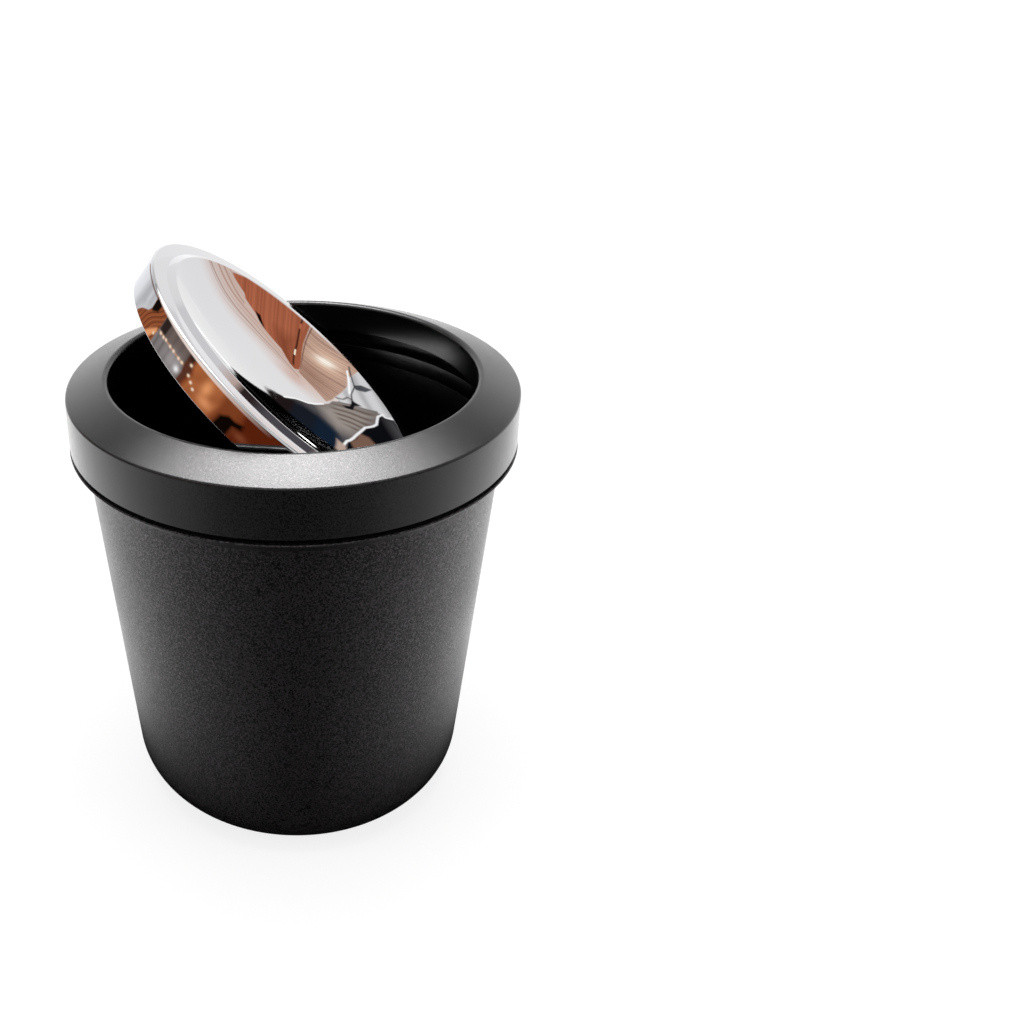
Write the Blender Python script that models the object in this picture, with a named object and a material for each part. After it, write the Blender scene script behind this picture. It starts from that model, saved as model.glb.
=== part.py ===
"""Round waste bin with a lift-off ring and a chrome-plated flap that swings on two pins.

Metres, +Z up. The origin is the middle of the circle that the bin stands on, the pins lie along Y,
and the flap is held open, raised at -X. Each section is drawn as (radius, height) and turned about +Z.
"""
import math

import bmesh
import bpy
from mathutils import Matrix, Vector

# Bin: a tapered pail with a large bottom radius and a slanted bead round its rim
BIN_FLOOR_R = 0.0868
BIN_TAPER = math.radians(3.8)
BIN_WALL = 0.0020
BIN_CORNER_ROUND = 0.0251
BEAD_TOP_Z = 0.1994
BEAD_PROUD = 0.0003
BEAD_LEDGE = 0.00215
BEAD_H = 0.0060
BEAD_EDGE_ROUND = 0.0005
FOOT_W = 0.0067
FOOT_RECESS = 0.0015
SEAT_DEPTH = 0.0040

# Ring: an upright band, a sloped top and a collar round the mouth
REVEAL_H = 0.0023
BAND_OVERHANG = 0.0069
BAND_DRAFT = 0.0005
BAND_H = 0.0234
BAND_ROUND = 0.0015
BAND_EDGE_ROUND = 0.0004
SLOPE = math.radians(20.0)
SLOPE_W = 0.0202
MOUTH_ROUND = 0.0022
COLLAR_H = 0.0160
RING_WALL = 0.0020
SKIRT_CLEARANCE = 0.0003
GUSSETS = 12
GUSSET_T = 0.0014
GUSSET_COLLAR_DROP = 0.0120
GUSSET_BAND_DROP = 0.0060

# Flap: a rim, a low crest and a dish over a deep skirt, drawn closed and then tilted
PIVOT_DROP = 0.00605
FLAP_OPEN = math.radians(42.0)
RIM_ABOVE_PIVOT = 0.00315
FLAP_GAP = 0.0012
FLAP_EDGE_ROUND = 0.0012
FLAP_SKIRT_H = 0.0151
FLAP_SKIRT_DRAFT = 0.0010
FLAP_SKIRT_T = 0.0018
FLAP_TOP_T = 0.0015
RIM_W = 0.0080
CREST_W = 0.0036
CREST_H = 0.0019
CREST_ROUND = 0.0010
DISH_DEPTH = 0.0050
DISH_POWER_SHARE = 3.5

# Base: the plain moulded tray that closes the flap from below
BASE_RECESS = 0.0020
BASE_T = 0.0020
BASE_LIP_H = 0.0050
BASE_CLEARANCE = 0.0003
BASE_RIBS = 8
BASE_RIB_T = 0.0012
BASE_RIB_H = 0.0030
BASE_HUB_R = 0.0140
CRADLE_W = 0.0070
CRADLE_LENGTH = 0.0090
CRADLE_CLEARANCE = 0.0003

# Pivot: a steel pin each end, which lies in the base and turns in a bush in the collar
PIN_R = 0.00125
PIN_CHAMFER = 0.0003
PIN_CLEARANCE = 0.0003
PIN_IN_CRADLE = 0.0080
BUSH_WALL = 0.00085
BUSH_LENGTH = 0.0032
BUSH_SUNK = 0.0002
BUSH_CLEARANCE = 0.0003
BOSS_WALL = 0.0011
BOSS_END_T = 0.0010

# Screws: pan heads under the base, threaded up into the pillars of the flap
SCREWS = 4
SCREW_PITCH_R = 0.0520
SCREW_R = 0.00125
SCREW_LENGTH = 0.0070
SCREW_HEAD_R = 0.0028
SCREW_HEAD_H = 0.0015
SCREW_HEAD_ROUND = 0.0006
SCREW_CLEARANCE = 0.0003
PILLAR_R = 0.0033

# Drawing: how finely curves are faceted, and how far cuts and joined pieces overrun
SEGMENTS = 60
SMALL_SEGMENTS = 20
CHORD_ERROR = 0.0001
CHORD_SHARE = 0.2
DISH_STEPS = 9
OVERRUN = 0.0005
WELD = 0.0000001
SMOOTH_LIMIT = math.radians(35.0)

# Heights and radii that follow from the sizes above
BEAD_LOW_Z = BEAD_TOP_Z - BEAD_H
BEAD_LOW_R = BIN_FLOOR_R + BEAD_LOW_Z * math.tan(BIN_TAPER) + BEAD_LEDGE
FOOT_R = BIN_FLOOR_R - BIN_CORNER_ROUND - FOOT_W
SEAT_Z = BEAD_TOP_Z - SEAT_DEPTH
BAND_BOTTOM_Z = BEAD_TOP_Z + REVEAL_H
BAND_R = BIN_FLOOR_R + BEAD_TOP_Z * math.tan(BIN_TAPER) + BAND_OVERHANG
BAND_TOP_R = BAND_R - BAND_DRAFT
BAND_TOP_Z = BAND_BOTTOM_Z + BAND_H
BEAD_TOP_R = BAND_R + BEAD_PROUD
MOUTH_R = BAND_TOP_R - SLOPE_W
MOUTH_Z = BAND_TOP_Z + SLOPE_W * math.tan(SLOPE)
COLLAR_BOTTOM_Z = MOUTH_Z - COLLAR_H
PIVOT_Z = MOUTH_Z - PIVOT_DROP
FLAP_R = MOUTH_R - FLAP_GAP
BIN_INNER_SEAT_R = BIN_FLOOR_R + SEAT_Z * math.tan(BIN_TAPER) - BIN_WALL / math.cos(BIN_TAPER)
SKIRT_INNER_R = BIN_INNER_SEAT_R + SKIRT_CLEARANCE
SKIRT_OUTER_R = SKIRT_INNER_R + RING_WALL
SOCKET_R = SKIRT_OUTER_R + SKIRT_CLEARANCE
COLLAR_OUTER_R = MOUTH_R + RING_WALL
BUSH_R = PIN_R + PIN_CLEARANCE + BUSH_WALL
SOCKET_HOLE_R = BUSH_R + BUSH_CLEARANCE
BUSH_START_Y = MOUTH_R + BUSH_SUNK
BUSH_END_Y = BUSH_START_Y + BUSH_LENGTH
RIM_Z = RIM_ABOVE_PIVOT
SKIRT_BOTTOM_Z = RIM_Z - FLAP_SKIRT_H
BASE_BOTTOM_Z = SKIRT_BOTTOM_Z + BASE_RECESS
BASE_TOP_Z = BASE_BOTTOM_Z + BASE_T
BASE_R = FLAP_R - FLAP_SKIRT_DRAFT - FLAP_SKIRT_T - BASE_CLEARANCE
DISH_R = FLAP_R - RIM_W - CREST_W


def clear_scene():
    """Take every object out of the open scene."""
    for item in list(bpy.data.objects):
        bpy.data.objects.remove(item, do_unlink=True)


def material(name, colour, roughness, metallic):
    """A Principled material with a plain colour."""
    made = bpy.data.materials.new(name)
    made.use_nodes = True
    shader = made.node_tree.nodes["Principled BSDF"]
    shader.inputs["Base Color"].default_value = (*colour, 1.0)
    shader.inputs["Roughness"].default_value = roughness
    shader.inputs["Metallic"].default_value = metallic
    made.diffuse_color = (*colour, 1.0)
    return made


def rounded(corners):
    """Points of an outline through (radius, height, rounding) corners, each rounding as an arc."""
    points = []
    count = len(corners)
    for index, (x, z, rounding) in enumerate(corners):
        here = Vector((x, z))
        if not rounding:
            points.append(here)
            continue
        before = (Vector(corners[index - 1][:2]) - here).normalized()
        after = (Vector(corners[(index + 1) % count][:2]) - here).normalized()
        half = before.angle(after) / 2
        centre = here + (before + after).normalized() * (rounding / math.sin(half))
        start = here + before * (rounding / math.tan(half)) - centre
        sweep = math.pi - 2 * half
        if before.x * after.y - before.y * after.x > 0:
            sweep = -sweep
        step = 2 * math.acos(1 - min(CHORD_ERROR / rounding, CHORD_SHARE))
        steps = max(2, math.ceil(abs(sweep) / step))
        for number in range(steps + 1):
            points.append(centre + Matrix.Rotation(sweep * number / steps, 2) @ start)
    return points


def new_object(name, mesh, parent=None):
    """Put a mesh into the scene under an optional parent."""
    made = bpy.data.objects.new(name, mesh)
    bpy.context.collection.objects.link(made)
    made.parent = parent
    return made


def finish(bm, name):
    """Turn a bmesh into a mesh with outward faces, smooth where its faces nearly meet flat."""
    bmesh.ops.remove_doubles(bm, verts=bm.verts, dist=WELD)
    bmesh.ops.recalc_face_normals(bm, faces=bm.faces)
    mesh = bpy.data.meshes.new(name)
    bm.to_mesh(mesh)
    bm.free()
    mesh.shade_smooth()
    mesh.set_sharp_from_angle(angle=SMOOTH_LIMIT)
    return mesh


def turned(name, points, closed, segments=SEGMENTS, along_y=False):
    """Mesh of a section turned about +Z, or about +Y. An open section starts and ends on the axis."""
    bm = bmesh.new()
    verts = [bm.verts.new((radius, 0, height)) for radius, height in points]
    edges = [bm.edges.new(pair) for pair in zip(verts, verts[1:])]
    if closed:
        edges.append(bm.edges.new((verts[-1], verts[0])))
    bmesh.ops.spin(bm, geom=verts + edges, cent=(0, 0, 0), axis=(0, 0, 1), angle=math.tau,
                   steps=segments, use_merge=True, use_duplicate=False)
    if along_y:
        bmesh.ops.rotate(bm, verts=bm.verts, cent=(0, 0, 0), matrix=Matrix.Rotation(-math.pi / 2, 3, "X"))
    return finish(bm, name)


def prisms(name, outline, thickness, turns):
    """Mesh of one flat (radius, height) outline, thickened across and repeated about +Z."""
    bm = bmesh.new()
    for turn in turns:
        spot = Matrix.Rotation(turn, 4, "Z")
        corners = [bm.verts.new(spot @ Vector((x, -thickness / 2, z))) for x, z in outline]
        face = bm.faces.new(corners)
        grown = bmesh.ops.extrude_face_region(bm, geom=[face])
        moved = [item for item in grown["geom"] if isinstance(item, bmesh.types.BMVert)]
        bmesh.ops.translate(bm, verts=moved, vec=spot.to_3x3() @ Vector((0, thickness, 0)))
    return finish(bm, name)


def rods(name, radius, bottom, top, places, segments=SMALL_SEGMENTS, along_y=False):
    """Mesh of round rods between two heights at (x, y) places, or along Y on the pivot axis."""
    bm = bmesh.new()
    for x, y in places:
        middle = Matrix.Translation((x, y, (bottom + top) / 2))
        bmesh.ops.create_cone(bm, cap_ends=True, segments=segments, radius1=radius, radius2=radius,
                              depth=top - bottom, matrix=middle)
    if along_y:
        bmesh.ops.rotate(bm, verts=bm.verts, cent=(0, 0, 0), matrix=Matrix.Rotation(-math.pi / 2, 3, "X"))
    return finish(bm, name)


def combine(target, name, mesh, operation):
    """Join a hidden tool shape to an object, or cut it out."""
    tool = new_object(name, mesh, target.parent)
    tool.location = target.location
    tool.hide_render = True
    tool.display_type = "WIRE"
    step = target.modifiers.new(name, "BOOLEAN")
    step.operation = operation
    step.solver = "EXACT"
    step.object = tool
    return tool


def wall_r(height):
    """Outside radius of the bin's tapered wall at a height."""
    return BIN_FLOOR_R + height * math.tan(BIN_TAPER)


def bin_section():
    """From the axis under the floor, round the outside and the bead, and back down the inside."""
    wall_across = BIN_WALL / math.cos(BIN_TAPER)
    inner_corner_r = wall_r(BIN_WALL) - wall_across
    return rounded([
        (0, FOOT_RECESS, 0),
        (FOOT_R, FOOT_RECESS, 0),
        (FOOT_R + FOOT_RECESS, 0, 0),
        (BIN_FLOOR_R, 0, BIN_CORNER_ROUND),
        (wall_r(BEAD_LOW_Z), BEAD_LOW_Z, 0),
        (BEAD_LOW_R, BEAD_LOW_Z, BEAD_EDGE_ROUND),
        (BEAD_TOP_R, BEAD_TOP_Z - BEAD_EDGE_ROUND, 0),
        (BEAD_TOP_R - BEAD_EDGE_ROUND, BEAD_TOP_Z, 0),
        (SOCKET_R, BEAD_TOP_Z, 0),
        (SOCKET_R, SEAT_Z, 0),
        (BIN_INNER_SEAT_R, SEAT_Z, 0),
        (inner_corner_r, BIN_WALL, BIN_CORNER_ROUND - BIN_WALL),
        (FOOT_R + FOOT_RECESS, BIN_WALL, 0),
        (FOOT_R, FOOT_RECESS + BIN_WALL, 0),
        (0, FOOT_RECESS + BIN_WALL, 0),
    ])


def make_bin(finish_material):
    """The pail, which is the root of the assembly."""
    pail = new_object("bin_body", turned("bin_body", bin_section(), closed=False))
    pail.data.materials.append(finish_material)


def slope_z(radius):
    """Height of the ring's sloped top at a radius."""
    return BAND_TOP_Z + (BAND_TOP_R - radius) * math.tan(SLOPE)


def ring_section():
    """Closed section of the ring: the band, slope and collar, then the underside and the skirt."""
    under = RING_WALL / math.cos(SLOPE)
    slope_inner_r = BAND_TOP_R - RING_WALL
    plate_inner_r = BAND_R - RING_WALL
    plate_top_z = BAND_BOTTOM_Z + RING_WALL
    return rounded([
        (BAND_R, BAND_BOTTOM_Z, BAND_EDGE_ROUND),
        (BAND_TOP_R, BAND_TOP_Z, BAND_ROUND),
        (MOUTH_R, MOUTH_Z, MOUTH_ROUND),
        (MOUTH_R, COLLAR_BOTTOM_Z, 0),
        (COLLAR_OUTER_R, COLLAR_BOTTOM_Z, 0),
        (COLLAR_OUTER_R, slope_z(COLLAR_OUTER_R) - under, 0),
        (slope_inner_r, slope_z(slope_inner_r) - under, 0),
        (plate_inner_r, plate_top_z, 0),
        (SKIRT_INNER_R, plate_top_z, 0),
        (SKIRT_INNER_R, SEAT_Z, 0),
        (SKIRT_OUTER_R, SEAT_Z, 0),
        (SKIRT_OUTER_R, BAND_BOTTOM_Z, 0),
    ])


def gusset_outline():
    """One stiffening web under the slope, from the collar to the band."""
    inner = COLLAR_OUTER_R - OVERRUN
    outer = BAND_TOP_R - RING_WALL + OVERRUN
    top = RING_WALL - OVERRUN
    return [
        (inner, slope_z(inner) - top),
        (inner, slope_z(inner) - GUSSET_COLLAR_DROP),
        (outer, slope_z(outer) - GUSSET_BAND_DROP),
        (outer, slope_z(outer) - top),
    ]


def make_ring(finish_material, parent):
    """The lift-off ring, with webs under its slope and two bosses that hold the bushes."""
    ring = new_object("lid_ring", turned("lid_ring", ring_section(), closed=True), parent)
    ring.data.materials.append(finish_material)
    turns = [math.tau * (number + 0.5) / GUSSETS for number in range(GUSSETS)]
    combine(ring, "ring_gussets", prisms("ring_gussets", gusset_outline(), GUSSET_T, turns), "UNION")
    boss_r = SOCKET_HOLE_R + BOSS_WALL
    boss_start = MOUTH_R + RING_WALL / 2
    for side, name in ((-1, "front"), (1, "back")):
        ends = sorted((side * boss_start, side * (BUSH_END_Y + BOSS_END_T)))
        boss = combine(ring, f"ring_boss_{name}", rods("boss", boss_r, *ends, [(0, 0)], along_y=True), "UNION")
        boss.location = (0, 0, PIVOT_Z)
        ends = sorted((side * (MOUTH_R - OVERRUN), side * BUSH_END_Y))
        hole = combine(ring, f"ring_hole_{name}", rods("hole", SOCKET_HOLE_R, *ends, [(0, 0)], along_y=True),
                       "DIFFERENCE")
        hole.location = (0, 0, PIVOT_Z)


def dish_z(radius):
    """Height of the flap's dish at a radius, above the pivot axis."""
    return RIM_Z + CREST_H - DISH_DEPTH * (1 - (radius / DISH_R) ** DISH_POWER_SHARE)


def flap_section():
    """From the middle of the dish over the crest, rim and skirt, and back along the underside."""
    dish = [DISH_R * number / DISH_STEPS for number in range(DISH_STEPS)]
    top = [(radius, dish_z(radius), 0) for radius in dish]
    under = [(radius, dish_z(radius) - FLAP_TOP_T, 0) for radius in reversed(dish)]
    rim_inner_r = FLAP_R - RIM_W
    skirt_low_r = FLAP_R - FLAP_SKIRT_DRAFT
    return rounded([
        *top,
        (DISH_R, RIM_Z + CREST_H, CREST_ROUND),
        (rim_inner_r, RIM_Z, CREST_ROUND),
        (FLAP_R, RIM_Z, FLAP_EDGE_ROUND),
        (skirt_low_r, SKIRT_BOTTOM_Z, 0),
        (skirt_low_r - FLAP_SKIRT_T, SKIRT_BOTTOM_Z, 0),
        (FLAP_R - FLAP_SKIRT_T, RIM_Z - FLAP_TOP_T, 0),
        (rim_inner_r, RIM_Z - FLAP_TOP_T, 0),
        (DISH_R, RIM_Z + CREST_H - FLAP_TOP_T, 0),
        *under,
    ])


def screw_places():
    """The (x, y) places of the screws, between the pins."""
    turns = [math.tau * (number + 0.5) / SCREWS for number in range(SCREWS)]
    return [(SCREW_PITCH_R * math.cos(turn), SCREW_PITCH_R * math.sin(turn)) for turn in turns]


def make_flap(finish_material, parent):
    """The plated shell of the flap, with screw pillars under it and a pin hole at each end."""
    shell = new_object("flap_shell", turned("flap_shell", flap_section(), closed=False), parent)
    shell.data.materials.append(finish_material)
    pillar_top = dish_z(SCREW_PITCH_R) - FLAP_TOP_T / 2
    combine(shell, "flap_pillars", rods("flap_pillars", PILLAR_R, BASE_TOP_Z, pillar_top, screw_places()),
            "UNION")
    hole_r = SCREW_R + SCREW_CLEARANCE
    hole_top = BASE_BOTTOM_Z + SCREW_LENGTH + SCREW_CLEARANCE
    combine(shell, "flap_pilots", rods("flap_pilots", hole_r, BASE_TOP_Z - OVERRUN, hole_top, screw_places()),
            "DIFFERENCE")
    skirt_start = FLAP_R - FLAP_SKIRT_DRAFT - FLAP_SKIRT_T - OVERRUN
    for side, name in ((-1, "front"), (1, "back")):
        ends = sorted((side * skirt_start, side * (FLAP_R + OVERRUN)))
        combine(shell, f"flap_hole_{name}", rods("hole", PIN_R + PIN_CLEARANCE, *ends, [(0, 0)], along_y=True),
                "DIFFERENCE")


def base_section():
    """From the axis along the tray's underside, round its lip and back over the top."""
    lip_top_z = BASE_TOP_Z + BASE_LIP_H
    return rounded([
        (0, BASE_BOTTOM_Z, 0),
        (BASE_R, BASE_BOTTOM_Z, BASE_T / 2),
        (BASE_R, lip_top_z, 0),
        (BASE_R - BASE_T, lip_top_z, 0),
        (BASE_R - BASE_T, BASE_TOP_Z, 0),
        (BASE_HUB_R, BASE_TOP_Z, 0),
        (BASE_HUB_R, BASE_TOP_Z + BASE_RIB_H, 0),
        (BASE_HUB_R - BASE_T, BASE_TOP_Z + BASE_RIB_H, 0),
        (BASE_HUB_R - BASE_T, BASE_TOP_Z, 0),
        (0, BASE_TOP_Z, 0),
    ])


def make_base(finish_material, parent):
    """The tray under the flap, with ribs, screw holes and a cradle for each pin."""
    base = new_object("flap_base", turned("flap_base", base_section(), closed=False), parent)
    base.data.materials.append(finish_material)
    inner = BASE_HUB_R - BASE_T / 2
    outer = BASE_R - BASE_T / 2
    low = BASE_TOP_Z - BASE_T / 2
    high = BASE_TOP_Z + BASE_RIB_H
    rib = [(inner, low), (outer, low), (outer, high), (inner, high - BASE_T / 2)]
    turns = [math.tau * (number + 0.5) / BASE_RIBS for number in range(BASE_RIBS)]
    combine(base, "base_ribs", prisms("base_ribs", rib, BASE_RIB_T, turns), "UNION")
    cradle_inner = BASE_R - BASE_CLEARANCE - CRADLE_LENGTH
    top = RIM_Z - FLAP_TOP_T - CRADLE_CLEARANCE
    block = [(cradle_inner, low), (outer, low), (outer, top), (cradle_inner, top)]
    quarters = (-math.pi / 2, math.pi / 2)
    combine(base, "base_cradles", prisms("base_cradles", block, CRADLE_W, quarters), "UNION")
    slot_r = PIN_R + PIN_CLEARANCE
    slot_inner = pin_inner_y() - PIN_CLEARANCE
    slot = [(slot_inner, 0), (BASE_R + OVERRUN, 0), (BASE_R + OVERRUN, top + OVERRUN), (slot_inner, top + OVERRUN)]
    combine(base, "base_slots", prisms("base_slots", slot, 2 * slot_r, quarters), "DIFFERENCE")
    for side, name in ((-1, "front"), (1, "back")):
        ends = sorted((side * slot_inner, side * (BASE_R + OVERRUN)))
        combine(base, f"base_groove_{name}", rods("groove", slot_r, *ends, [(0, 0)], along_y=True), "DIFFERENCE")
    combine(base, "base_screw_holes",
            rods("base_screw_holes", SCREW_R + SCREW_CLEARANCE, BASE_BOTTOM_Z - OVERRUN, high, screw_places()),
            "DIFFERENCE")


def pin_inner_y():
    """How far from the middle of the flap each pin starts."""
    return BASE_R - PIN_IN_CRADLE


def make_pivots(pin_material, bush_material, ring_parent, flap_parent):
    """A pin that moves with the flap and a bush that stays in the ring, front and back."""
    start = pin_inner_y()
    end = BUSH_END_Y - PIN_CLEARANCE
    pin = turned("pivot_pin", [
        Vector((0, start)),
        Vector((PIN_R - PIN_CHAMFER, start)),
        Vector((PIN_R, start + PIN_CHAMFER)),
        Vector((PIN_R, end - PIN_CHAMFER)),
        Vector((PIN_R - PIN_CHAMFER, end)),
        Vector((0, end)),
    ], closed=False, segments=SMALL_SEGMENTS, along_y=True)
    bore_r = PIN_R + PIN_CLEARANCE
    bush = turned("pivot_bush", [
        Vector((bore_r, BUSH_START_Y)),
        Vector((BUSH_R, BUSH_START_Y)),
        Vector((BUSH_R, BUSH_END_Y)),
        Vector((bore_r, BUSH_END_Y)),
    ], closed=True, segments=SMALL_SEGMENTS, along_y=True)
    pin.materials.append(pin_material)
    bush.materials.append(bush_material)
    for name, turn in (("back", 0), ("front", math.pi)):
        new_object(f"pivot_pin_{name}", pin, flap_parent).rotation_euler.z = turn
        placed = new_object(f"pivot_bush_{name}", bush, ring_parent)
        placed.location.z = PIVOT_Z
        placed.rotation_euler.z = turn


def make_screws(screw_material, parent):
    """The screws that hold the base to the flap, heads down."""
    head_top = BASE_BOTTOM_Z
    head_bottom = head_top - SCREW_HEAD_H
    tip = head_top + SCREW_LENGTH
    screw = turned("flap_screw", rounded([
        (0, head_bottom, 0),
        (SCREW_HEAD_R, head_bottom, SCREW_HEAD_ROUND),
        (SCREW_HEAD_R, head_top, 0),
        (SCREW_R, head_top, 0),
        (SCREW_R, tip - SCREW_R, 0),
        (SCREW_R / 2, tip, 0),
        (0, tip, 0),
    ]), closed=False, segments=SMALL_SEGMENTS)
    screw.materials.append(screw_material)
    for number, (x, y) in enumerate(screw_places(), start=1):
        new_object(f"flap_screw_{number}", screw, parent).location = (x, y, 0)


def build():
    """Make every piece and pose the flap open."""
    clear_scene()
    satin_black = material("satin_black_plastic", (0.012, 0.012, 0.013), 0.42, 0.0)
    base_black = material("moulded_black_plastic", (0.016, 0.016, 0.017), 0.55, 0.0)
    chrome = material("chrome_plate", (0.86, 0.86, 0.87), 0.04, 1.0)
    steel = material("pin_steel", (0.62, 0.62, 0.63), 0.28, 1.0)
    acetal = material("bush_acetal", (0.82, 0.81, 0.78), 0.45, 0.0)
    lid = bpy.data.objects.new("lid_frame", None)
    pivot = bpy.data.objects.new("flap_pivot", None)
    for guide in (lid, pivot):
        bpy.context.collection.objects.link(guide)
    pivot.parent = lid
    pivot.location = (0, 0, PIVOT_Z)
    pivot.rotation_euler = (0, FLAP_OPEN, 0)
    make_bin(satin_black)
    make_ring(satin_black, lid)
    make_flap(chrome, pivot)
    make_base(base_black, pivot)
    make_pivots(steel, acetal, lid, pivot)
    make_screws(steel, pivot)


build()
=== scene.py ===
# %% [markdown]
# A small round waste bin stands on a pale floor. It is a tapered pail of black plastic with a ring that
# lifts off, and a chrome flap hangs in the mouth of the ring on two hidden pins. The flap is held open.
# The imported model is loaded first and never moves. Every piece below is drawn in the same frame, in
# metres, with +Z up, the pins along Y and the raised side of the flap at -X.

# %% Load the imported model
import math
from functools import partial

import bmesh
import bpy
import numpy as np
from mathutils import Matrix, Vector


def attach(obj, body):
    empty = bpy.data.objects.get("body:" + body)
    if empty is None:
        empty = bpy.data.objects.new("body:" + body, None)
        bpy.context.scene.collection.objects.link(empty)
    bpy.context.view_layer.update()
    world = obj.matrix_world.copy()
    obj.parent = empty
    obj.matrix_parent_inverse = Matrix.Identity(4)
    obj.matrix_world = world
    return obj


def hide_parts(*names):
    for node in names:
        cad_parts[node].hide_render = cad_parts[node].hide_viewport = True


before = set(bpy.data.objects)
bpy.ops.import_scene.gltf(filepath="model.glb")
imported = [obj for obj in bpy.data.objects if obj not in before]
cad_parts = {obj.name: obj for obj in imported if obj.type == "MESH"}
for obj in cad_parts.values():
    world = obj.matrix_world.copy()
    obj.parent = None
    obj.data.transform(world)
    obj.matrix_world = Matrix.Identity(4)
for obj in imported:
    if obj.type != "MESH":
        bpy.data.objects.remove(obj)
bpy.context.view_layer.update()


def in_scene(name, data):
    """A new object, linked to the scene."""
    made = bpy.data.objects.new(name, data)
    bpy.context.scene.collection.objects.link(made)
    return made


print("nodes:", sorted(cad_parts))

# %% [markdown]
# The camera comes first, because every choice after it is checked against the view. It looks down at
# the bin by about thirty degrees, from half a metre, which gives the wide ellipse of the mouth and the
# strong taper of the pail. A small shift places the bin at the left of a square picture.

# %% Camera
camera_data = bpy.data.cameras.new("camera")
camera_data.sensor_width = 36.0
camera_data.lens = 38.71
camera_data.shift_x = 0.2121
camera_data.clip_start = 0.01
camera = in_scene("camera", camera_data)
pitch = Matrix.Rotation(math.radians(59.2), 4, "X")
roll = Matrix.Rotation(math.radians(-0.85), 4, "Z")
camera.matrix_world = Matrix.Translation((0.0, -0.47998, 0.43770)) @ pitch @ roll
bpy.context.scene.camera = camera
bpy.context.scene.view_settings.view_transform = "Standard"
print("camera at", [round(value, 3) for value in camera.matrix_world.translation])

# %% [markdown]
# Nearly every piece of this bin is turned: one section swept round the middle axis. A section is listed
# as corners of (radius, height, rounding), and this helper replaces each rounded corner by a fine arc.

# %% Helper: a section with rounded corners
SAG = 0.000004
MOST_SAG = 0.2


def rounded(corners):
    """Points of an outline through (radius, height, rounding) corners."""
    points = []
    for index, (x, z, rounding) in enumerate(corners):
        here = Vector((x, z))
        if not rounding:
            points.append(here)
            continue
        before = (Vector(corners[index - 1][:2]) - here).normalized()
        after = (Vector(corners[(index + 1) % len(corners)][:2]) - here).normalized()
        half = before.angle(after) / 2
        centre = here + (before + after).normalized() * (rounding / math.sin(half))
        start = here + before * (rounding / math.tan(half)) - centre
        sweep = math.pi - 2 * half
        if before.x * after.y - before.y * after.x > 0:
            sweep = -sweep
        sag = min(SAG / rounding, MOST_SAG)
        steps = max(3, math.ceil(abs(sweep) / (2 * math.acos(1 - sag))))
        points += [centre + Matrix.Rotation(sweep * n / steps, 2) @ start for n in range(steps + 1)]
    return points


print("a 3 mm corner takes", len(rounded([(0, 0, 0), (0.01, 0, 0.003), (0.01, 0.01, 0)])) - 2, "points")

# %% [markdown]
# Turning is a rule, so Geometry Nodes does it. The tree reads the points of a section from the object's
# own mesh, lays a grid with one row per point, and places each row on its circle. Merging closes the
# seam and the poles. The Spin tool could do the same, but here the number of turns stays a named input.

# %% Geometry Nodes: turn a section round the axis
MERGE = 0.000001


def feed(tree, target, links):
    """Feed the inputs of a node from sockets or plain values. A colour is three numbers."""
    for key, value in links.items():
        socket = target.inputs[key]
        if isinstance(value, bpy.types.NodeSocket):
            tree.links.new(value, socket)
        else:
            socket.default_value = (*value, 1.0) if socket.type == "RGBA" else value


def node(tree, kind, links=None, **settings):
    """Add one node, set its properties, and feed its inputs."""
    made = tree.nodes.new(kind)
    for key, value in settings.items():
        setattr(made, key, value)
    feed(tree, made, links or {})
    return made


def maths(tree, operation, *values):
    """One Math node, as a socket."""
    return node(tree, "ShaderNodeMath", dict(enumerate(values)), operation=operation).outputs[0]


def product(tree, first, *others):
    """All the factors multiplied, as a socket."""
    for other in others:
        first = maths(tree, "MULTIPLY", first, other)
    return first


def new_tree(name, inputs):
    """An empty geometry tree with named inputs and a geometry output, and what its inputs give."""
    tree = bpy.data.node_groups.new(name, "GeometryNodeTree")
    for way in ("INPUT", "OUTPUT"):
        tree.interface.new_socket("Geometry", in_out=way, socket_type="NodeSocketGeometry")
    for label, kind, value in inputs:
        socket = tree.interface.new_socket(label, in_out="INPUT", socket_type="NodeSocket" + kind)
        if value is not None:
            socket.default_value = value
    return tree, node(tree, "NodeGroupInput").outputs


def finish_tree(tree, geometry, given):
    """Give the geometry its finish, and put it out."""
    finished = node(tree, "GeometryNodeSetMaterial", {
        "Geometry": geometry.outputs[0], "Material": given["Finish"]})
    node(tree, "NodeGroupOutput", {"Geometry": finished.outputs[0]})
    print("tree:", tree.name, "with", len(tree.nodes), "nodes")


turn_tree, given = new_tree("Turned section", [
    ("Turns", "Int", 240), ("Merge", "Float", MERGE), ("Finish", "Material", None)])
size = node(turn_tree, "GeometryNodeAttributeDomainSize", {"Geometry": given["Geometry"]})
rows = size.outputs["Point Count"]
columns = maths(turn_tree, "ADD", given["Turns"], 1.0)
grid = node(turn_tree, "GeometryNodeMeshGrid", {"Vertices X": columns, "Vertices Y": rows})
index = node(turn_tree, "GeometryNodeInputIndex").outputs[0]
middle = maths(turn_tree, "ADD", index, 0.5)
column = maths(turn_tree, "FLOOR", maths(turn_tree, "DIVIDE", middle, rows))
row = maths(turn_tree, "SUBTRACT", index, product(turn_tree, column, rows))
angle = product(turn_tree, maths(turn_tree, "DIVIDE", column, given["Turns"]), math.tau)
sample = node(turn_tree, "GeometryNodeSampleIndex", {
    "Geometry": given["Geometry"], "Value": node(turn_tree, "GeometryNodeInputPosition").outputs[0],
    "Index": row}, data_type="FLOAT_VECTOR", clamp=True)
section_point = node(turn_tree, "ShaderNodeSeparateXYZ", {0: sample.outputs[0]}).outputs
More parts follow.
